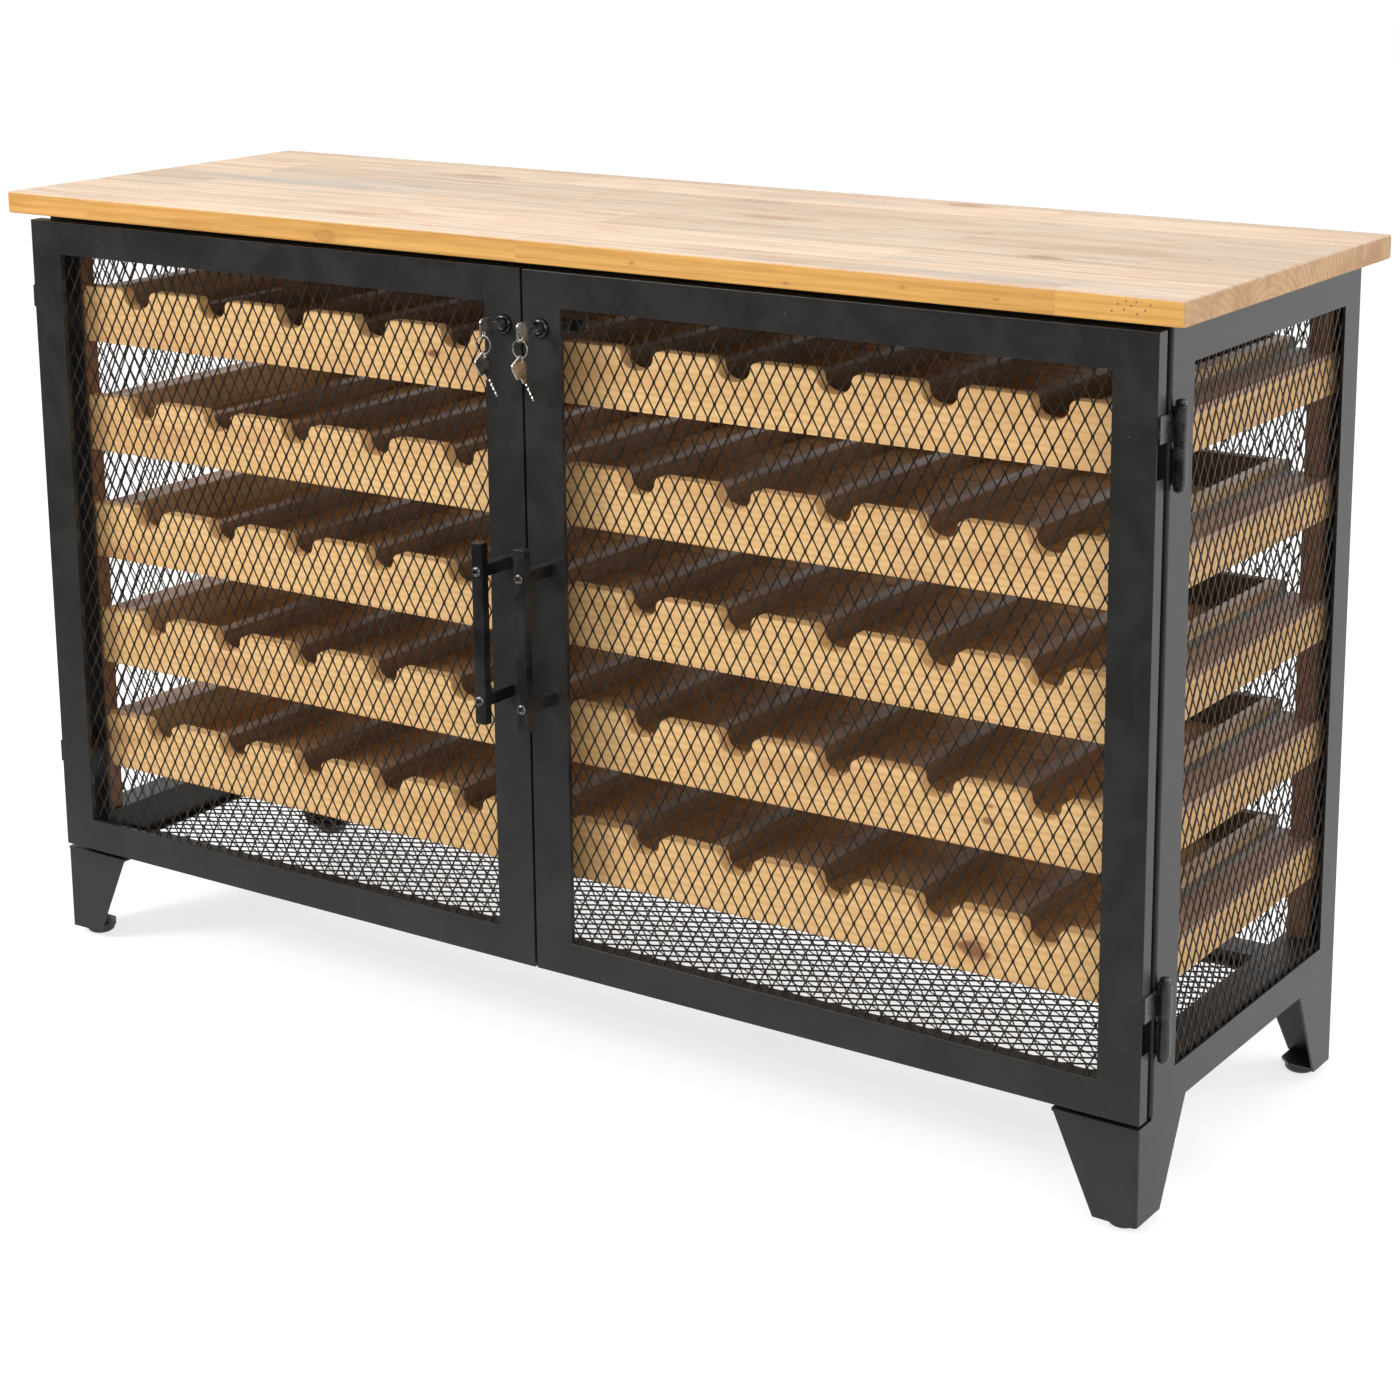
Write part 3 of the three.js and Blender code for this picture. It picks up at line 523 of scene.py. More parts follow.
# Each step over the rings: which mask, its low and high, whose share, how much of that share, and the tone.
woodSteps = (
    ("Streaks", 0.42, 0.72, "streakShare", 1.0, "dark"), ("Blotch", 0.52, 0.74, "blotchShare", 1.0, "blotch"),
    ("Fibres", 0.45, 0.75, "fibreShare", 1.0, "fibre"), ("Fibres", 0.46, 0.28, "fibreShare", 0.8, "dark"))
ringPower, ringRelief = 2.2, 0.5
fibreRange, fibreRough, fibreDepth = (0.3, 0.7), (0.08, -0.05), 0.5


# Colour of sawn wood from its rings, streaks, blotches, fibres and knots.
def woodColour(grain, look):
    wood = useGroup(logGrain, {"Grain": grain, "Ring Gap": look.ringGap * mm, "Wander": look.wander * mm,
                               "Knots": look.knots})
    rings = calc("POWER", wood["Rings"], ringPower)
    tone = mixed(times(rings, look.ringShare), look.light, look.dark)
    for mask, low, high, share, part, tint in woodSteps:
        tone = mixed(remap(wood[mask], low, high, 0.0, look[share] * part), tone, look[tint])
    return mixed(wood["Knot"], tone, look.knot), wood


def withMarks(place, tone, marks, haloTone, coreTone):
    for x, y, z, size, stretch, core, halo in marks:
        mark = useGroup(woodMark, {"Place": place, "Centre": (x * mm, y * mm, z * mm), "Size": size * mm,
                                   "Stretch": stretch})
        tone = mixed(times(mark["Halo"], halo), tone, haloTone)
        tone = mixed(times(mark["Core"], core), tone, coreTone)
    return tone


def woodRelief(wood):
    return calc("ADD", wood["Fibres"], times(wood["Rings"], ringRelief))


# The beams have a dark lower edge, which is painted shade: the height under the top beam's lower edge, taken
# modulo the rows' pitch.
def woodMaterial(name, look):
    look = entries(plainWood, **look)
    material, tree, shader = newMaterial(name)
    grain = put("Attribute", {}, tree, attribute_name="grain").outputs["Vector"]
    tone, wood = woodColour(grain, look)
    if "marks" in look:
        tone = withMarks(objectPlace(tree), tone, look.marks, look.blotch, look.knot)
    # A strip of each beam is darkened: painted shade.
    if "band" in look:
        height = partsOf(objectPlace(tree))[2]
        below = calc("MODULO", calc("SUBTRACT", look.bandTop * mm, height), look.bandPitch * mm)
        tall = look.bandTall
        band = remap(below, (tall + 1) * mm, (tall - 1) * mm, 0.0, look.bandShare)
        tone = mixed(band, tone, look.band)
    rough = remap(wood["Fibres"], *fibreRange, *(look.roughness + step for step in fibreRough))
    finishSurface(shader, tone, rough, look.specular, (woodRelief(wood), look.relief, fibreDepth))
    return material


slabFinish = entries(
    top=entries(
        light=(0.71, 0.550, 0.405), dark=(0.50, 0.345, 0.235), fibre=(0.76, 0.63, 0.50),
        blotch=(0.50, 0.30, 0.195), stain=(0.40, 0.365, 0.325)),
    end=entries(
        light=(0.50, 0.310, 0.165), dark=(0.35, 0.195, 0.092), fibre=(0.58, 0.39, 0.23),
        blotch=(0.34, 0.180, 0.085)),
    edge=entries(
        light=(0.62, 0.325, 0.078), dark=(0.45, 0.205, 0.040), fibre=(0.70, 0.43, 0.135),
        blotch=(0.43, 0.19, 0.042)),
    wood=entries(
        ringGap=8.5, wander=12.0, knots=0.10, knot=(0.24, 0.12, 0.055), ringShare=0.5, streakShare=0.75,
        fibreShare=0.55, blotchShare=0.6),
    knotHalo=(0.42, 0.245, 0.145), endStart=(748.0, 749.6), topStart=(912.8, 914.7),
    plankWide=81, plankLong=620, stagger=0.37, seam=0.6, seamBlur=0.4, seamShare=0.45,
    hop=(3.7, 0.31, 0.09), heartDrop=-0.86, lightest=1.06, darkest=0.85, edgeShade=0.97,
    rough=(0.74, 0.58), specular=0.36, relief=0.25, reliefDepth=0.6,
    clouds=(  # noise, its low and high, share, tone: grey patches, rosy patches, fine mill marks
        (((4.0, 85.0, 85.0), 4.0, 0.62), 0.50, 0.68, 0.5, "stain"),
        (((13.0, 60.0, 60.0), 4.0, 0.62), 0.53, 0.70, 0.5, "blotch"),
        (((120.0, 520.0, 520.0), 4.0, 0.62), 0.48, 0.74, 0.4, "dark")),
    sawScale=42.0, sawWobble=3.0, sawPatchScale=5.0, sawPatch=(0.46, 0.64, 0.0, 0.30),
    stainMarks=(
        (-500, 22, 915, 26, 0.11, 0.0, 0.85), (-420, 62, 915, 20, 0.12, 0.0, 0.7),
        (120, 200, 915, 20, 0.12, 0.0, 0.6), (560, -190, 915, 16, 0.08, 0.0, 0.6)),
    topMarks=(
        (523, -56, 915, 13, 0.40, 0.35, 0.75), (667, 11, 915, 4, 0.7, 0.9, 0.5),
        (136, 45, 915, 17, 0.28, 0.15, 0.6), (-41, -20, 915, 14, 0.30, 0.10, 0.5),
        (-358, 170, 915, 19, 0.30, 0.25, 0.7),
        (-271, -156, 915, 15, 0.22, 0.15, 0.6), (272, 235, 915, 18, 0.4, 0.35, 0.7),
        (60, 150, 915, 16, 0.25, 0.1, 0.5), (380, 60, 915, 12, 0.2, 0.0, 0.5)),
    edgeMarks=(
        (-260, -220, 899, 11, 0.35, 0.2, 0.75), (147, -220, 901, 4, 0.7, 0.5, 0.4),
        (-470, -220, 897, 10, 0.25, 0.0, 0.5), (330, -220, 896, 3, 0.5, 0.5, 0.3),
        (460, -220, 903, 3, 0.5, 0.4, 0.3), (560, -220, 900, 3, 0.4, 0.4, 0.3)),
    holes=(
        (684, -220, 907), (690, -220, 902), (697, -220, 906), (703, -220, 899), (692, -220, 910),
        (711, -220, 903), (678, -220, 900), (702, -220, 910), (716, -220, 908)),
    holeRadius=1.1, holeEdge=(1.3, 0.7),
)


# Planks side by side with their ends staggered: each has a tint, and its grain hops elsewhere in the log.
def slabPlanks(place):
    look = slabFinish
    plank = put("TexBrick", {
        "Vector": place, "Color1": (0, 0, 0), "Color2": (1, 1, 1), "Mortar": (0.5, 0.5, 0.5), "Scale": 1.0,
        "Mortar Size": look.seam * mm, "Mortar Smooth": look.seamBlur, "Brick Width": look.plankLong * mm,
        "Row Height": look.plankWide * mm}, offset=look.stagger).outputs
    tint = redOf(plank["Color"])
    hop = {axis: times(tint, step) for axis, step in enumerate(look.hop)}
    hop[2] = calc("ADD", hop[2], look.heartDrop)
    return plank["Fac"], tint, vectorCalc("ADD", place, put("CombineXYZ", hop).outputs[0])


# The top has clouds of other tones over its wood, then stains and knots.
def slabTopTone(place, grain):
    look = slabFinish
    tone, wood = woodColour(grain, entries(look.wood, **look.top))
    for waves, low, high, share, cloud in look.clouds:
        patches = remap(stretched(place, *waves), low, high, 0.0, share)
        tone = mixed(patches, tone, look.top[cloud])
    tone = withMarks(place, tone, look.stainMarks, look.top.stain, look.top.stain)
    return withMarks(place, tone, look.topMarks, look.knotHalo, look.wood.knot), wood


# Pale on top with faint saw marks, duller at the ends and golden on the sawn edges, where some holes show.
def slabMaterial():
    look = slabFinish
    material, tree, shader = newMaterial("slabPine")
    place = objectPlace(tree)
    seam, tint, grain = slabPlanks(place)
    topTone, wood = slabTopTone(place, grain)
    edgeTone = woodColour(grain, entries(look.wood, **look.edge))[0]
    edgeTone = withMarks(place, edgeTone, look.edgeMarks, look.edge.dark, look.wood.knot)
    endTone = woodColour(grain, entries(look.wood, **look.end))[0]
    x, y, z = partsOf(place)
    onEnd = remap(calc("ABSOLUTE", x), *(k * mm for k in look.endStart))
    onTop = remap(z, *(k * mm for k in look.topStart))
    tone = mixed(onTop, mixed(onEnd, edgeTone, endTone), topTone)
    shade = remap(tint, 0.0, 1.0, look.darkest, look.lightest)
    shade = times(calc("SUBTRACT", shade, look.edgeShade), onTop)
    shade = allThree(calc("ADD", shade, look.edgeShade))
    tone = mixed(1.0, tone, shade, "MULTIPLY")
    sawn = put("TexWave", {"Vector": place, "Scale": look.sawScale, "Distortion": look.sawWobble})
    patch = remap(noise(place, look.sawPatchScale), *look.sawPatch)
    tone = mixed(times(times(sawn.outputs["Fac"], patch), onTop), tone, look.top.dark)
    tone = mixed(times(seam, look.seamShare), tone, look.knotHalo)
    for hole in look.holes:
        centre = tuple(k * mm for k in hole)
        spot = put("VectorMath", {0: place, 1: centre}, operation="DISTANCE").outputs["Value"]
        mask = remap(spot, *(look.holeRadius * k * mm for k in look.holeEdge))
        tone = mixed(mask, tone, look.wood.knot)
    rough = remap(wood["Fibres"], *fibreRange, *look.rough)
    height = calc("SUBTRACT", woodRelief(wood), seam)
    finishSurface(shader, tone, rough, look.specular, (height, look.relief, look.reliefDepth))
    return material


plainSteel = entries(specular=0.5, metallic=0.0, skin=0.05, skinDepth=0.4, dustShare=0.0)
# What isn't given is as in plainSteel; size is that of the smudges.
steelFinishes = entries(
    charcoalSteel=entries(
        deep=(0.0115, 0.0107, 0.0101), pale=(0.0175, 0.0166, 0.0159),
        size=60, rough=(0.37, 0.43), dustShare=0.5),
    meshSteel=entries(
        deep=(0.012, 0.0080, 0.0055), pale=(0.030, 0.021, 0.0145),
        size=50, rough=(0.38, 0.52), specular=0.28),
    handleSteel=entries(
        deep=(0.005, 0.005, 0.0055), pale=(0.016, 0.016, 0.017),
        size=30, rough=(0.28, 0.42), specular=0.4),
    hingeSteel=entries(
        deep=(0.0050, 0.0050, 0.0052), pale=(0.024, 0.024, 0.0245),
        size=12, rough=(0.18, 0.32), specular=0.75),
    screwNickel=entries(
        deep=(0.13, 0.125, 0.12), pale=(0.30, 0.29, 0.28),
        size=6, rough=(0.24, 0.40), metallic=1.0, skin=0.03),
    stripSteel=entries(
        deep=(0.22, 0.22, 0.22), pale=(0.38, 0.38, 0.38),
        size=60, rough=(0.35, 0.5), metallic=0.4),
    brightNickel=entries(
        deep=(0.52, 0.49, 0.45), pale=(0.80, 0.77, 0.72),
        size=12, rough=(0.26, 0.40), metallic=1.0, skin=0.03),
    darkChrome=entries(
        deep=(0.045, 0.045, 0.048), pale=(0.09, 0.09, 0.095),
        size=12, rough=(0.14, 0.24), metallic=1.0, skin=0.02),
    glideBlack=entries(
        deep=(0.006, 0.006, 0.006), pale=(0.014, 0.014, 0.014),
        size=20, rough=(0.4, 0.55), specular=0.45, skin=0.08),
)
steelRanges = entries(cloud=(0.38, 0.66), rub=(0.56, 0.76, 0.0, 0.5), rough=(0.35, 0.68))
dust = (0.30, 0.29, 0.27)


def steelMaterial(name, look):
    look = entries(plainSteel, **look)
    material, tree, shader = newMaterial(name)
    marks = useGroup(steelSmudges, {"Place": objectPlace(tree), "Size": look.size * mm})
    tone = mixed(remap(marks["Cloud"], *steelRanges.cloud), look.deep, look.pale)
    # Pale upright streaks: partly rubbed wear, partly painted sheen.
    tone = mixed(remap(marks["RubAndSheen"], *steelRanges.rub), tone, look.pale)
    tone = mixed(times(marks["Specks"], look.dustShare), tone, dust)
    rough = remap(marks["Cloud"], *steelRanges.rough, *look.rough)
    finishSurface(shader, tone, rough, look.specular, (marks["Skin"], look.skin, look.skinDepth))
    shader.inputs["Metallic"].default_value = look.metallic
    return material


finishes = {name: woodMaterial(name, look) for name, look in woodFinishes.items()}
finishes.update({name: steelMaterial(name, look) for name, look in steelFinishes.items()})
finishes["slabPine"] = slabMaterial()
print("materials made:", len(finishes))

slabShape = entries(ease=2.6)

slab = easedBar(*boxOf("top_slab"), slabShape.ease, "x")
addPiece("slabTop", slab, "slabPine", "cabinet", "slab_wood", "top_slab")
print("top made")

bends = entries(side=0.9, rail=0.7, tray=0.8)  # radii of the folds

for side, sign in sides:
    addFolded(side + "SideFrame", side + "_side_frame", bends.side, "cabinet")
    addFolded(side + "DoorTray", side + "_door_frame", bends.tray, side + "_door")
addFolded("frontTopRail", "front_top_rail", bends.rail, "cabinet")
addFolded("backTopRail", "back_top_rail", bends.rail, "cabinet")
addFolded("baseFrame", "base_frame", bends.rail, "cabinet")
print("carcass made")

expandedShape = entries(wide=16.5, tall=30.5, strand=0.74, thick=1.2, bond=3.0, lean=0.55)


# Zigzag strands side by side: strand i swings about i * wide / 2, and meets its neighbours at alternate
# heights. Each is a flat ribbon whose face leans one way on the rise and the other way on the fall.
# On the floor the diamonds lie across, so that u and v change places.
def expandedSheet(lowU, highU, lowV, highV, middleW, along):
    look = expandedShape
    strands = int(round((highU - lowU) / (look.wide / 2)))
    steps = int(round((highV - lowV - look.bond) / (look.tall / 2)))
    pitchU, pitchV = (highU - lowU) / strands, (highV - lowV - look.bond) / steps
    half = look.strand
    strand, step = np.meshgrid(np.arange(strands), np.arange(steps + 1), indexing="ij")
    swing = np.where((strand + step) % 2 == 0, 1.0, -1.0)
    u = np.repeat(lowU + (strand + 0.5) * pitchU + swing * (pitchU / 2 - half), 2, axis=1)
    v = np.repeat(lowV + look.bond / 2 + step * pitchV, 2, axis=1)
    v = v + np.tile([-look.bond / 2, look.bond / 2], steps + 1)
    lean = np.repeat(swing, 2, axis=1) * np.tile([1.0, -1.0], steps + 1) * look.lean
    offsetU = np.array([-half, half, half, -half])
    offsetW = np.array([-0.5, -0.5, 0.5, 0.5]) * look.thick
    pointsU = u[..., None] + offsetU
    pointsV = np.broadcast_to(v[..., None], pointsU.shape)
    pointsW = middleW + offsetW + lean[..., None] * offsetU * 0.5
    points = np.stack([pointsU, pointsV, pointsW], axis=-1).reshape(-1, 3)
    rings = 2 * (steps + 1)
    last = rings * 4 - 4
    ends = np.array([[3, 2, 1, 0], [last, last + 1, last + 2, last + 3]])
    faces = np.concatenate([ringQuads(rings, 4), ends])
    quads = (faces[None] + (np.arange(strands) * rings * 4)[:, None, None]).reshape(-1, 4)
    if along == "z":
        points, quads = points[:, [1, 0, 2]], quads[:, ::-1]
    return laid(points, quads, [], along)


# A sheet fills the box of its CAD net, and lies in the middle of it.
def addNet(name, node, along, body="cabinet"):
    low, high = boxOf(node)
    u, v, w = {"x": (1, 2, 0), "y": (0, 2, 1), "z": (1, 0, 2)}[along]
    part = expandedSheet(low[u], high[u], low[v], high[v], (low[w] + high[w]) / 2, along)
    addPiece(name, part, "meshSteel", body, "mesh_steel", node)


for side, sign in sides:
    addNet(side + "DoorMesh", side + "_door_mesh", "y", side + "_door")
    addNet(side + "SideMesh", side + "_side_mesh", "x")
addNet("backMesh", "back_mesh", "y")
addNet("floorMesh", "floor_mesh", "z")
print("expanded metal made")

rackShape = entries(
    rows=5, notchPitch=118.8, notches=11, notchHalf=20, notchDepth=22, shoulder=8,
    shoulderSteps=7, bowlSteps=19,
    boardEase=1.3, slatEase=1.2, deckEase=0.8, postEase=1.0, beamEase=1.2, stripEase=0.4,
    slatWidth=18, slatHeight=23, deckDrop=40, deckThick=6, deckSeams=(-66, 30, 134), seamGap=3.6,
    railWidth=16, railGap=15, backRail=12, backDrop=2, play=0.2, sunk=0.5, postRoom=0.3,
    stripThick=1.6, stripDrop=10.5,
)


# The top line of a notched board, from its right end to its left end: flat, shoulder, half ellipse, shoulder.
def notchedOutline(lowX, highX, lowZ, highZ):
    look = rackShape
    r, a, b = look.shoulder, look.notchHalf, look.notchDepth - look.shoulder
    quarter = quarterArc(look.shoulderSteps)
    half = np.linspace(0, math.pi, look.bowlSteps)[1:-1]
    right = np.column_stack([a + r - r * np.sin(quarter), highZ - r + r * np.cos(quarter)])
    bowl = np.column_stack([a * np.cos(half), highZ - r - b * np.sin(half)])
    left = np.column_stack([-right[::-1, 0], right[::-1, 1]])
    notch = np.concatenate([right, bowl, left])
    centres = (np.arange(look.notches)[::-1] - (look.notches - 1) / 2) * look.notchPitch
    top = np.repeat(notch[None], len(centres), axis=0)
    top[:, :, 0] += centres[:, None]
    ends = [[lowX, lowZ], [highX, lowZ], [highX, highZ]]
    return np.concatenate([ends, top.reshape(-1, 2), [[lowX, highZ]]])


# A beam seen from above: a bar with a notch cut into it from behind, round the back post.
def beamOutline(low, high, postLow, postHigh, room):
    x, y, width = postLow[0] - room, postLow[1] - room, postHigh[0] + room
    return np.array([[low[0], low[1]], [high[0], low[1]], [high[0], high[1]], [width, high[1]],
                     [width, y], [x, y], [x, high[1]], [low[0], high[1]]])


def board(low, high, ease, along):
    return easedBar(low, high, ease, along), along


def addFrontBoard(prefix):
    look = rackShape
    low, high = boxOf(prefix + "_front_board")
    outline = notchedOutline(low[0], high[0], low[2], high[2])
    notched = outlineBody(outline, low[1], high[1], look.boardEase, "y")
    addWood(prefix + "FrontBoard", [(notched, "x")], "boardPine", "board_pine", prefix + "_front_board")


# A deck is boards side by side, with slats sunk slightly into them and a rail across the back, coloured very
# dark as painted shade.
def addDeck(prefix, low, high):
    look = rackShape
    front, back, deckTop = low[1] + look.play, high[1], high[2] - look.deckDrop
    bottom = deckTop - look.deckThick
    starts = [low[1]] + [seam + look.seamGap / 2 for seam in look.deckSeams]
    stops = [seam - look.seamGap / 2 for seam in look.deckSeams] + [back]
    panels = [board((low[0], start, bottom), (high[0], stop, deckTop), look.deckEase, "x")
              for start, stop in zip(starts, stops)]
    addWood(prefix + "DeckPanels", panels, "deckWood", "deck_wood", prefix + "_slatted_deck")
    slats = []
    count = look.notches - 1
    for x in (np.arange(count) - (count - 1) / 2) * look.notchPitch:
        slats.append(board((x - look.slatWidth / 2, front, deckTop - look.sunk),
                           (x + look.slatWidth / 2, back, deckTop + look.slatHeight), look.slatEase, "y"))
    addWood(prefix + "Slats", slats, "slatWood", "deck_wood")
    outer = high[0] - look.railGap
    # The back rail is drawn in very dark wood: painted shade.
    backRail = board((-outer, back + look.play, bottom),
                     (outer, back + look.play + look.backRail, high[2] - look.backDrop), look.slatEase, "x")
    addWood(prefix + "BackRail", [backRail], "backRailPaintedShade", "deck_wood")


def addBeam(prefix, side):
    look = rackShape
    node = prefix + "_" + side + "_beam"
    low, high = boxOf(node)
    outline = beamOutline(low, high, *boxOf(side + "_back_post"), look.postRoom)
    beam = outlineBody(outline, low[2], high[2], look.beamEase, "z")
    addWood(prefix + side.capitalize() + "Beam", [(beam, "y")], "beamPine", "board_pine", node)


# A rail stands at each end of the deck, and a thin metal strip lies between it and the beam.
def addEndRails(prefix, low, high):
    look = rackShape
    front, back, top = low[1] + look.play, high[1], high[2]
    foot, outer, level = top - look.deckDrop - look.sunk, high[0] - look.railGap, top - look.stripDrop
    rails, strips = [], []
    for side, sign in sides:
        x = sorted((sign * outer, sign * (outer - look.railWidth)))
        rails.append(board((x[0], front, foot), (x[1], back, top), look.slatEase, "y"))
        x = sorted((sign * outer, sign * high[0]))
        stripLow, stripHigh = (x[0], front, level - look.stripThick), (x[1], back, level)
        strips.append(easedBar(stripLow, stripHigh, look.stripEase, "y"))
    addWood(prefix + "EndRails", rails, "railWood", "deck_wood")
    addPiece(prefix + "Strips", joined(strips), "stripSteel", "cabinet", "carcass_steel")


def makeRow(row):
    prefix = "row" + str(row)
    deckBox = boxOf(prefix + "_slatted_deck")
    addFrontBoard(prefix)
    addDeck(prefix, *deckBox)
    for side, sign in sides:
        addBeam(prefix, side)
    addEndRails(prefix, *deckBox)


for row in range(1, rackShape.rows + 1):
    makeRow(row)
for side, end in cabinetCorners:
    node = side + "_" + end + "_post"
    post = board(*boxOf(node), rackShape.postEase, "z")
    addWood(side + end.capitalize() + "Post", [post], "postWood", "post_wood", node)
print("rack made")

glideShape = entries(flat=9.0, flatShare=0.9, flatRise=0.1, bulge=0.55, lip=1.2, rim=(0.4, 0.3),
                     steps=9, segments=40)


# A glide is turned: a recessed middle, a flat ring that stands on the floor, a bulge and a rounded upper rim.
def addGlide(name, node):
    look = glideShape
    low, high = boxOf(node)
    radius, tall = (high[0] - low[0]) / 2, high[2] - low[2]
    turn = quarterArc(look.steps)[1:]
    bulge = np.column_stack([look.flat + (radius - look.flat) * np.sin(turn),
                             (1 - np.cos(turn)) * tall * look.bulge])
    profile = np.vstack([[[0, 0], [look.flat * look.flatShare, 0], [look.flat, look.flatRise]], bulge,
                         [[radius, tall - look.lip], [radius - look.rim[0], tall - look.rim[1]],
                          [radius - look.lip, tall], [0, tall]]])
    centre = ((low[0] + high[0]) / 2, (low[1] + high[1]) / 2, low[2])
    glide = turnedBody(profile, centre, "z", look.segments)
    addPiece(name, glide, "glideBlack", "cabinet", "glide_plastic", node)


for side, end in cabinetCorners:
    addGlide(side + end.capitalize() + "Glide", side + "_" + end + "_glide")
print("glides made")

hingeShape = entries(
    radius=7.2, cap=5.6, capTall=7.0, capRound=0.5, capStep=0.2, groove=6.3, grooveTall=3.0,
    bore=4.3, pin=4.0, pinTall=30, gap=0.3, ease=0.6, outset=7.5, slabOverhang=28.5,
    weldHalf=4, weldStart=14, weldStop=6, weldEase=0.3,
    leafThick=3.0, leafTall=26, leafDrop=5, leafGap=0.5, leafShort=0.1, leafEase=0.5,
    capSteps=7, segments=36,
)


# The outer end of a barrel, from its tip inwards: a low button, a step and an eased rim.
def barrelEnd(tip, inward):
    look = hingeShape
    turn = quarterArc(look.capSteps)
    rise = inward * look.capTall * look.capRound * (1 - np.cos(turn))
    step = tip + inward * look.capTall
    return np.vstack([np.column_stack([look.cap * np.sin(turn), tip + rise]), [
        [look.cap, step - inward * look.capStep], [look.radius - look.ease, step],
        [look.radius, step + inward * look.ease]]])


# The frame half is the lower barrel with the pin on it, and the door half is the bored barrel above.
def makeHinge(side, sign, level):
    look = hingeShape
    name = side + level.capitalize() + "Hinge"
    node = side + "_" + level + "_hinge_frame_half"
    low, high = boxOf(node)
    length = high[2] - low[2] - look.pinTall
    middle = low[2] + length
    tip, pinTop = middle + length, middle + look.pinTall
    sideX = cadHigh[0] / mm - look.slabOverhang
    axisX = sign * (sideX + look.outset)
    centre = (axisX, (low[1] + high[1]) / 2, 0)
    rim, inner = look.radius - look.ease, middle - look.gap
    under, over = middle - look.grooveTall, middle + look.grooveTall
    profile = np.vstack([barrelEnd(low[2], 1), [
        [look.radius, under - look.ease], [rim, under], [look.groove, under], [look.groove, inner],
        [look.pin, inner], [look.pin, pinTop], [0, pinTop]]])
    plate = sorted((sign * sideX, axisX - sign * look.pin))
    weld = easedBar((plate[0], centre[1] - look.weldHalf, low[2] + look.weldStart),
                    (plate[1], centre[1] + look.weldHalf, middle - look.weldStop), look.weldEase, "z")
    frameHalf = joined([turnedBody(profile, centre, "z", look.segments), weld])
    addPiece(name + "FrameHalf", frameHalf, "hingeSteel", "cabinet", "carcass_steel", node)

    node = side + "_" + level + "_hinge_door_half"
    low, high = boxOf(node)
    boreTop = pinTop + look.gap
    profile = np.vstack([[
        [0, boreTop], [look.bore, boreTop], [look.bore, middle], [look.groove, middle], [look.groove, over],
        [rim, over], [look.radius, over + look.ease]], barrelEnd(tip, -1)[::-1]])
    leafTop = tip - look.capTall - look.leafDrop
    doorX = sideX + look.leafGap
    x = sorted((sign * doorX, sign * (doorX + look.leafThick)))
    leaf = easedBar((x[0], low[1], leafTop - look.leafTall),
                    (x[1], centre[1] - look.bore - look.leafShort, leafTop), look.leafEase, "z")
    doorHalf = joined([turnedBody(profile, centre, "z", look.segments), leaf])
    addPiece(name + "DoorHalf", doorHalf, "hingeSteel", side + "_door", "carcass_steel", node)


for side, sign in sides:
    for level in ("lower", "upper"):
        makeHinge(side, sign, level)
print("hinges made")

handleShape = entries(
    depth=11, lowerArm=26, upperArm=31, armTall=13, armInset=1, armEase=0.8, ease=1.0,
    screwRadius=5.5, screwTall=3.0, domeShare=0.8, screwSunk=0.6,
    socketRadius=2.5, socketDepth=2.2, socketLip=(0.3, 0.25), domeSteps=8,
)


# A domed screw head with a round socket, whose top is at height 0.
def screwProfile():
    look = handleShape
    r, tall, inner = look.screwRadius, look.screwTall, look.socketRadius
    turn = quarterArc(look.domeSteps)
    lip, lipDrop = look.socketLip
    dome = np.column_stack([inner + lip + (r - inner - lip) * np.sin(turn),
                            tall * (1 - np.cos(turn)) * look.domeShare])
    return np.vstack([[[0, look.socketDepth], [inner, look.socketDepth], [inner, lipDrop]], dome,
                      [[r, tall], [r, tall + look.screwSunk], [0, tall + look.screwSunk]]])


def makeHandle(side):
    look = handleShape
    low, high = boxOf(side + "_handle")
    front = low[1] + look.screwTall
    back = front + look.depth
    parts, screws = [easedBar((low[0], front, low[2]), (high[0], back, high[2]), look.ease, "z")], []
    for z in (low[2] + look.lowerArm, high[2] - look.upperArm):
        parts.append(easedBar((low[0] + look.armInset, back - look.armInset, z - look.armTall / 2),
                              (high[0] - look.armInset, high[1], z + look.armTall / 2), look.armEase, "y"))
        screws.append(turnedBody(screwProfile(), ((low[0] + high[0]) / 2, low[1], z), "y"))
    addPiece(side + "Handle", joined(parts), "handleSteel", side + "_door", "handle_steel", side + "_handle")
    addPiece(side + "HandleScrews", joined(screws), "screwNickel", side + "_door", "nickel")


for side, sign in sides:
    makeHandle(side)
print("handles made")

lockShape = entries(
    offset=24, belowDoorTop=60, proud=5, radius=11, barrel=9, bore=6.5, mouth=0.5,
    domeShare=0.96, backEase=0.4, plug=6.2, plugFace=((-1.6, 0.9), (-1.1, 0.35), (-0.3, 0.3), (0, 0.7)),
    camThick=2.0, camLong=36, camWide=13, camRound=0.85, camEase=0.3,
    domeSteps=9, camSteps=5, edgeSteps=2, segments=48, plugSegments=40,
)
keyShape = entries(
    thick=2.0, bow=21, corner=4.5, holeRadius=3.0, holeInset=4.8, neck=9, neckLong=8.5,
    neckStart=1.5, neckCut=1, blade=4.5, inserted=6.0, spare=27, reach=39, lean=58, ease=0.35,
    cutPitch=3.2, cutStart=1.2, cutFlat=0.5, cuts=(0.9, 1.7, 0.6, 1.4, 1.0, 1.8, 0.7, 1.3, 0.9),
    tipCut=(0.2, 0.9), cornerSteps=7, edgeSteps=2,
)
ringShape = entries(radius=9.5, wire=0.58, seat=1.6, start=0.6, turns=2, steps=97)


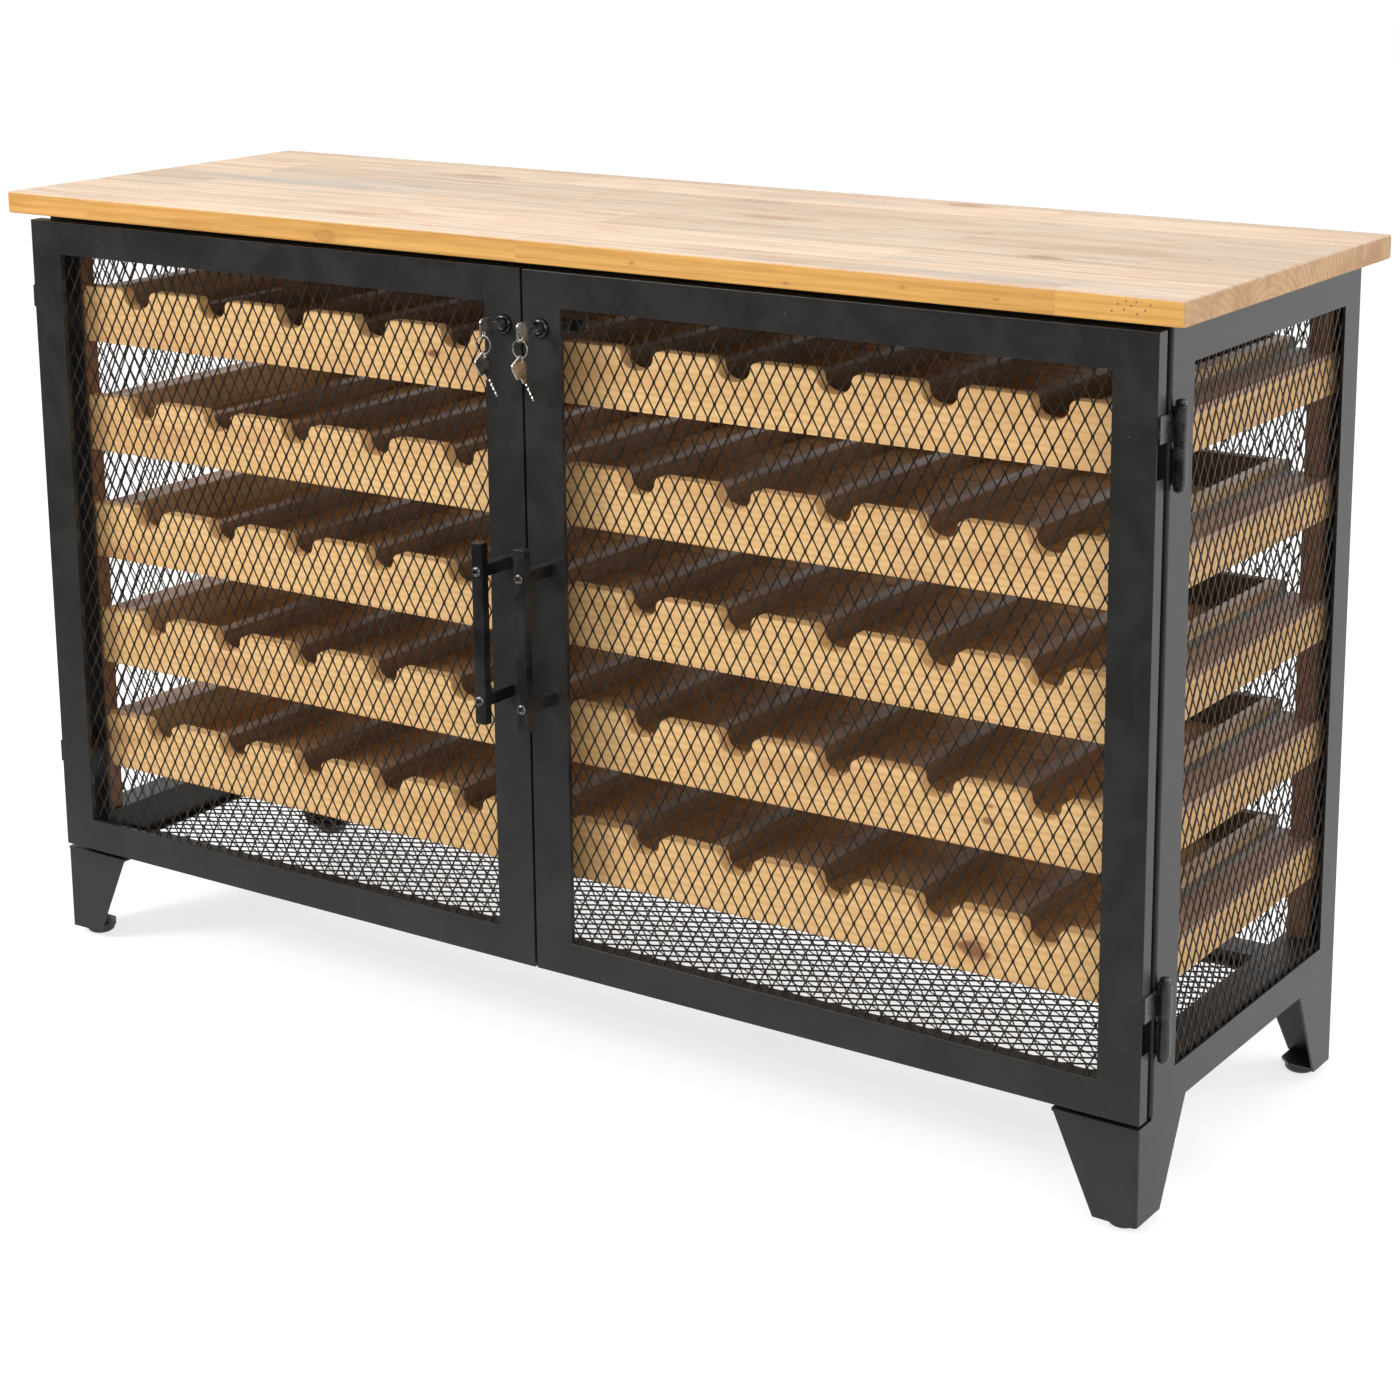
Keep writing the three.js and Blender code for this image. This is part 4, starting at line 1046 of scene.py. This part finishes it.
# A flat bow with a hole: a slim closed profile goes round between the outer outline and the hole's circle.
def keyBow(holeSign):
    look = keyShape
    half = look.bow / 2
    outer = roundedOutline(-half, half, -half, half, look.corner, look.cornerSteps)
    hole = np.array([-(half - look.holeInset), holeSign * (half - look.holeInset)])
    ray = outer - hole
    inner = hole + look.holeRadius * ray / np.linalg.norm(ray, axis=1, keepdims=True)
    t, e = look.thick / 2, look.ease
    profile = np.array([[0, -t + e], [0, t - e], [e, t], [-e, t], [1, t - e], [1, -t + e], [-e, -t], [e, -t]])
    span = np.linalg.norm(outer - inner, axis=1)[:, None]
    inward = profile[:, 0]
    share = np.where(inward < 0, 1 + inward / span, np.where(inward < 1, inward / span, 1.0))
    ringsUV = outer[:, None] * (1 - share[..., None]) + inner[:, None] * share[..., None]
    rings = np.concatenate([ringsUV, np.broadcast_to(profile[:, 1], share.shape)[..., None]], axis=-1)
    return rings.reshape(-1, 3), ringQuads(len(outer), len(profile), True)[:, ::-1], []


# The shank and blade: a neck with shoulders, then a blade whose lower edge is cut in shallow steps.
def keyShank(bladeLong):
    look = keyShape
    start, end = look.bow / 2 - look.neckStart, look.bow / 2 + look.neckLong
    n, b, c = look.neck / 2, look.blade / 2, look.neckCut
    tip = end + bladeLong
    count = max(2, int(bladeLong // look.cutPitch))
    cuts = np.linspace(tip - b, end + look.cutStart, count + 1)
    depth = np.array(look.cuts)[:count]
    teeth = np.stack([np.stack([cuts[:-1] - look.cutFlat, np.full(count, -b)], axis=1),
                      np.stack([(cuts[:-1] + cuts[1:]) / 2, -b + depth], axis=1)], axis=1).reshape(-1, 2)
    outline = np.concatenate([
        [[start, -n], [end - c, -n], [end, -n + c], [end, -b]], teeth[::-1],
        [[tip - look.tipCut[0], -b + look.tipCut[1]], [tip, 0], [tip - b, b], [end, b], [end, n - c],
         [end - c, n], [start, n]]])
    return outlineBody(outline, -look.thick / 2, look.thick / 2, look.ease, "z", look.edgeSteps)


# A whole key in the (along, up, across) frame, turned by an angle and moved to its place in the YZ plane.
def flatKey(bladeLong, holeSign, turn, pivot, place):
    points, quads, caps = joined([keyBow(holeSign), keyShank(bladeLong)])
    u, v = points[:, 0] - pivot[0], points[:, 1] - pivot[1]
    y = u * math.cos(turn) - v * math.sin(turn)
    z = u * math.sin(turn) + v * math.cos(turn)
    return np.column_stack([points[:, 2], y, z]) + np.asarray(place), quads, caps


# The housing's profile, from its mouth: a domed rosette on a quarter circle, then a straight barrel.
def housingProfile(deep):
    look = lockShape
    turn = quarterArc(look.domeSteps)
    inner = look.bore + look.mouth
    dome = np.column_stack([inner + (look.radius - inner) * np.sin(turn),
                            look.proud * (1 - np.cos(turn)) * look.domeShare])
    return np.vstack([[[look.bore, look.mouth]], dome, [
        [look.radius, look.proud], [look.barrel, look.proud], [look.barrel, deep - look.backEase],
        [look.barrel - look.backEase, deep], [look.bore, deep]]])


# The ring hangs in the hole of the key in the lock, whose bow is round (x, y, z), and carries the spare key.
# Its wire is a coil: a circle that moves sideways by one wire's radius in each turn.
def hangSpareKey(side, x, y, z):
    cut, loop = keyShape, ringShape
    hole = cut.bow / 2 - cut.holeInset
    hangY, hangZ = y - hole, z - hole - loop.seat
    angle = np.linspace(0, loop.turns * 2 * math.pi, loop.steps)
    spread = loop.wire * (angle / (2 * math.pi) - 1)
    coil = np.column_stack([x + loop.radius * np.sin(angle + loop.start), hangY + spread,
                            hangZ - loop.radius + loop.radius * np.cos(angle + loop.start)])
    ring = wireAlong(coil, loop.wire, (0, 1, 0))
    addPiece(side + "SplitRing", ring, "brightNickel", side + "_key_ring", "nickel", side + "_key_ring")
    hung = (x, hangY, hangZ - 2 * loop.radius - loop.seat)
    spare = flatKey(cut.spare, 1, -math.radians(cut.lean), (-hole, hole), hung)
    addPiece(side + "SpareKey", spare, "brightNickel", side + "_spare_key", "nickel", side + "_spare_key")


def makeLock(side, sign):
    look, cut = lockShape, keyShape
    plugBody, nodes = side + "_lock_plug", side + "_lock_"
    doorLow, doorHigh = boxOf(side + "_door_frame")
    x, z = sign * look.offset, doorHigh[2] - look.belowDoorTop
    face = doorLow[1]
    low, high = boxOf(nodes + "housing")
    housing = turnedBody(housingProfile(high[1] - low[1]), (x, low[1], z), "y", look.segments, True)
    addPiece(side + "LockHousing", housing, "darkChrome", side + "_door", "nickel", nodes + "housing")

    low, high = boxOf(nodes + "plug_and_key")
    back = high[1]
    front = face - look.proud
    rim = [[look.plug + out, front + deep] for out, deep in look.plugFace]
    profile = [[0, rim[0][1]]] + rim + [[look.plug, back], [0, back]]
    plug = turnedBody(profile, (x, 0, z), "y", look.plugSegments)
    addPiece(side + "LockPlug", plug, "handleSteel", plugBody, "nickel")
    half = look.camWide / 2
    outline = roundedOutline(-half, look.camLong, -half, half, half * look.camRound, look.camSteps)
    if sign < 0:
        outline = (outline * [-1, 1])[::-1]
    cam = outlineBody(outline + [x, z], back - look.camThick, back, look.camEase, "y", look.edgeSteps)
    keyY = face - cut.reach + cut.bow / 2
    inserted = flatKey(cut.inserted, -1, 0.0, (0, 0), (x, keyY, z))
    addPiece(side + "LockKeyAndCam", joined([cam, inserted]), "brightNickel", plugBody, "nickel",
             nodes + "plug_and_key")
    hangSpareKey(side, x, keyY, z)


for side, sign in sides:
    makeLock(side, sign)
print("locks and keys made")

# Metres, apart from the camera: its place and sensor in mm, focal and picture in pixels, turns in radians.
studio = entries(
    floorHalf=14.0, paper=0.86, whiteShare=0.50, floorWhite=1.41, world=0.70, worldSpan=2.0,
    darkFront=entries(y=-1.7, shade=0.10), brightBack=entries(y=0.5, shade=1.15),
    camera=entries(x=1843.57, y=-2565.94, z=1342.48, yaw=0.6032, pitch=0.22413, roll=-0.0092,
               focal=2926.42, shift=-0.16, picture=1400, sensor=36.0),
    lamps=entries(
        key=entries(place=(-2.7, -3.5, 3.1), aim=(0.0, 0.0, 0.45), size=1.6, power=150),
        fill=entries(place=(3.6, -2.2, 1.9), aim=(0.2, 0.0, 0.45), size=2.4, power=45),
        back=entries(place=(3.4, 2.6, 1.6), aim=(0.7, 0.1, 0.4), size=2.0, power=40),
        top=entries(place=(0.2, 0.3, 3.4), aim=(0.0, 0.0, 0.9), size=2.4, power=32),
    ),
)


# Camera and transmitted rays see white, and glossy rays see a studio that darkens towards the front.
# Gives the share of that backdrop, and its strength.
def backdrop(forward, share, white):
    path = put("LightPath", {}, forward.id_data).outputs
    seen = calc("MAXIMUM", path["Is Camera Ray"], path["Is Transmission Ray"])
    front, back = studio.darkFront, studio.brightBack
    fade = remap(forward, front.y, back.y, front.shade, back.shade)
    strength = calc("MAXIMUM", times(seen, white), times(path["Is Glossy Ray"], fade))
    return calc("MAXIMUM", times(seen, share), path["Is Glossy Ray"]), strength


def makeFloor():
    half, paper = studio.floorHalf, studio.paper
    mesh = bpy.data.meshes.new("studioFloor")
    edge = [(-half, -half, 0), (half, -half, 0), (half, half, 0), (-half, half, 0)]
    mesh.from_pydata(edge, [], [(0, 1, 2, 3)])
    floor = addObject("studioFloor", mesh)
    material = bpy.data.materials.new("studioFloor")
    tree = emptyTree(material)
    lit = put("BsdfDiffuse", {"Color": (paper, paper, paper)}, tree).outputs[0]
    share, strength = backdrop(partsOf(objectPlace(tree))[1], studio.whiteShare, studio.floorWhite)
    white = put("Emission", {"Color": (1, 1, 1), "Strength": strength}).outputs[0]
    both = put("MixShader", {0: share, 1: lit, 2: white}).outputs[0]
    put("OutputMaterial", {0: both})
    mesh.materials.append(material)


def makeWorld():
    world = bpy.data.worlds.new("studioWorld")
    bpy.context.scene.world = world
    tree = emptyTree(world)
    plain = put("Background", {"Color": (1, 1, 1), "Strength": studio.world}, tree).outputs[0]
    forward = times(partsOf(put("TexCoord", {}, tree).outputs["Generated"])[1], studio.worldSpan)
    share, strength = backdrop(forward, 1.0, 1.0)
    white = put("Background", {"Color": (1, 1, 1), "Strength": strength}).outputs[0]
    both = put("MixShader", {0: share, 1: plain, 2: white}).outputs[0]
    put("OutputWorld", {0: both})


def makeLamps():
    for name, look in studio.lamps.items():
        data = bpy.data.lights.new(name + "Lamp", "AREA")
        data.energy = look.power
        data.size = look.size
        lamp = addObject(name + "Lamp", data)
        lamp.location = look.place
        aim = Vector(look.aim) - Vector(look.place)
        lamp.rotation_euler = aim.to_track_quat("-Z", "Y").to_euler()


def makeCamera():
    look = studio.camera
    data = bpy.data.cameras.new("photoCamera")
    data.sensor_width = look.sensor
    data.lens = look.focal / look.picture * look.sensor
    data.shift_y = look.shift
    camera = addObject("photoCamera", data)
    turn = (Matrix.Rotation(look.yaw, 4, "Z") @ Matrix.Rotation(math.pi / 2 - look.pitch, 4, "X")
            @ Matrix.Rotation(look.roll, 4, "Z"))
    camera.matrix_world = Matrix.Translation((look.x * mm, look.y * mm, look.z * mm)) @ turn
    bpy.context.scene.camera = camera


makeFloor()
makeWorld()
makeLamps()
makeCamera()
bpy.context.scene.view_settings.view_transform = "Standard"
print("studio made")
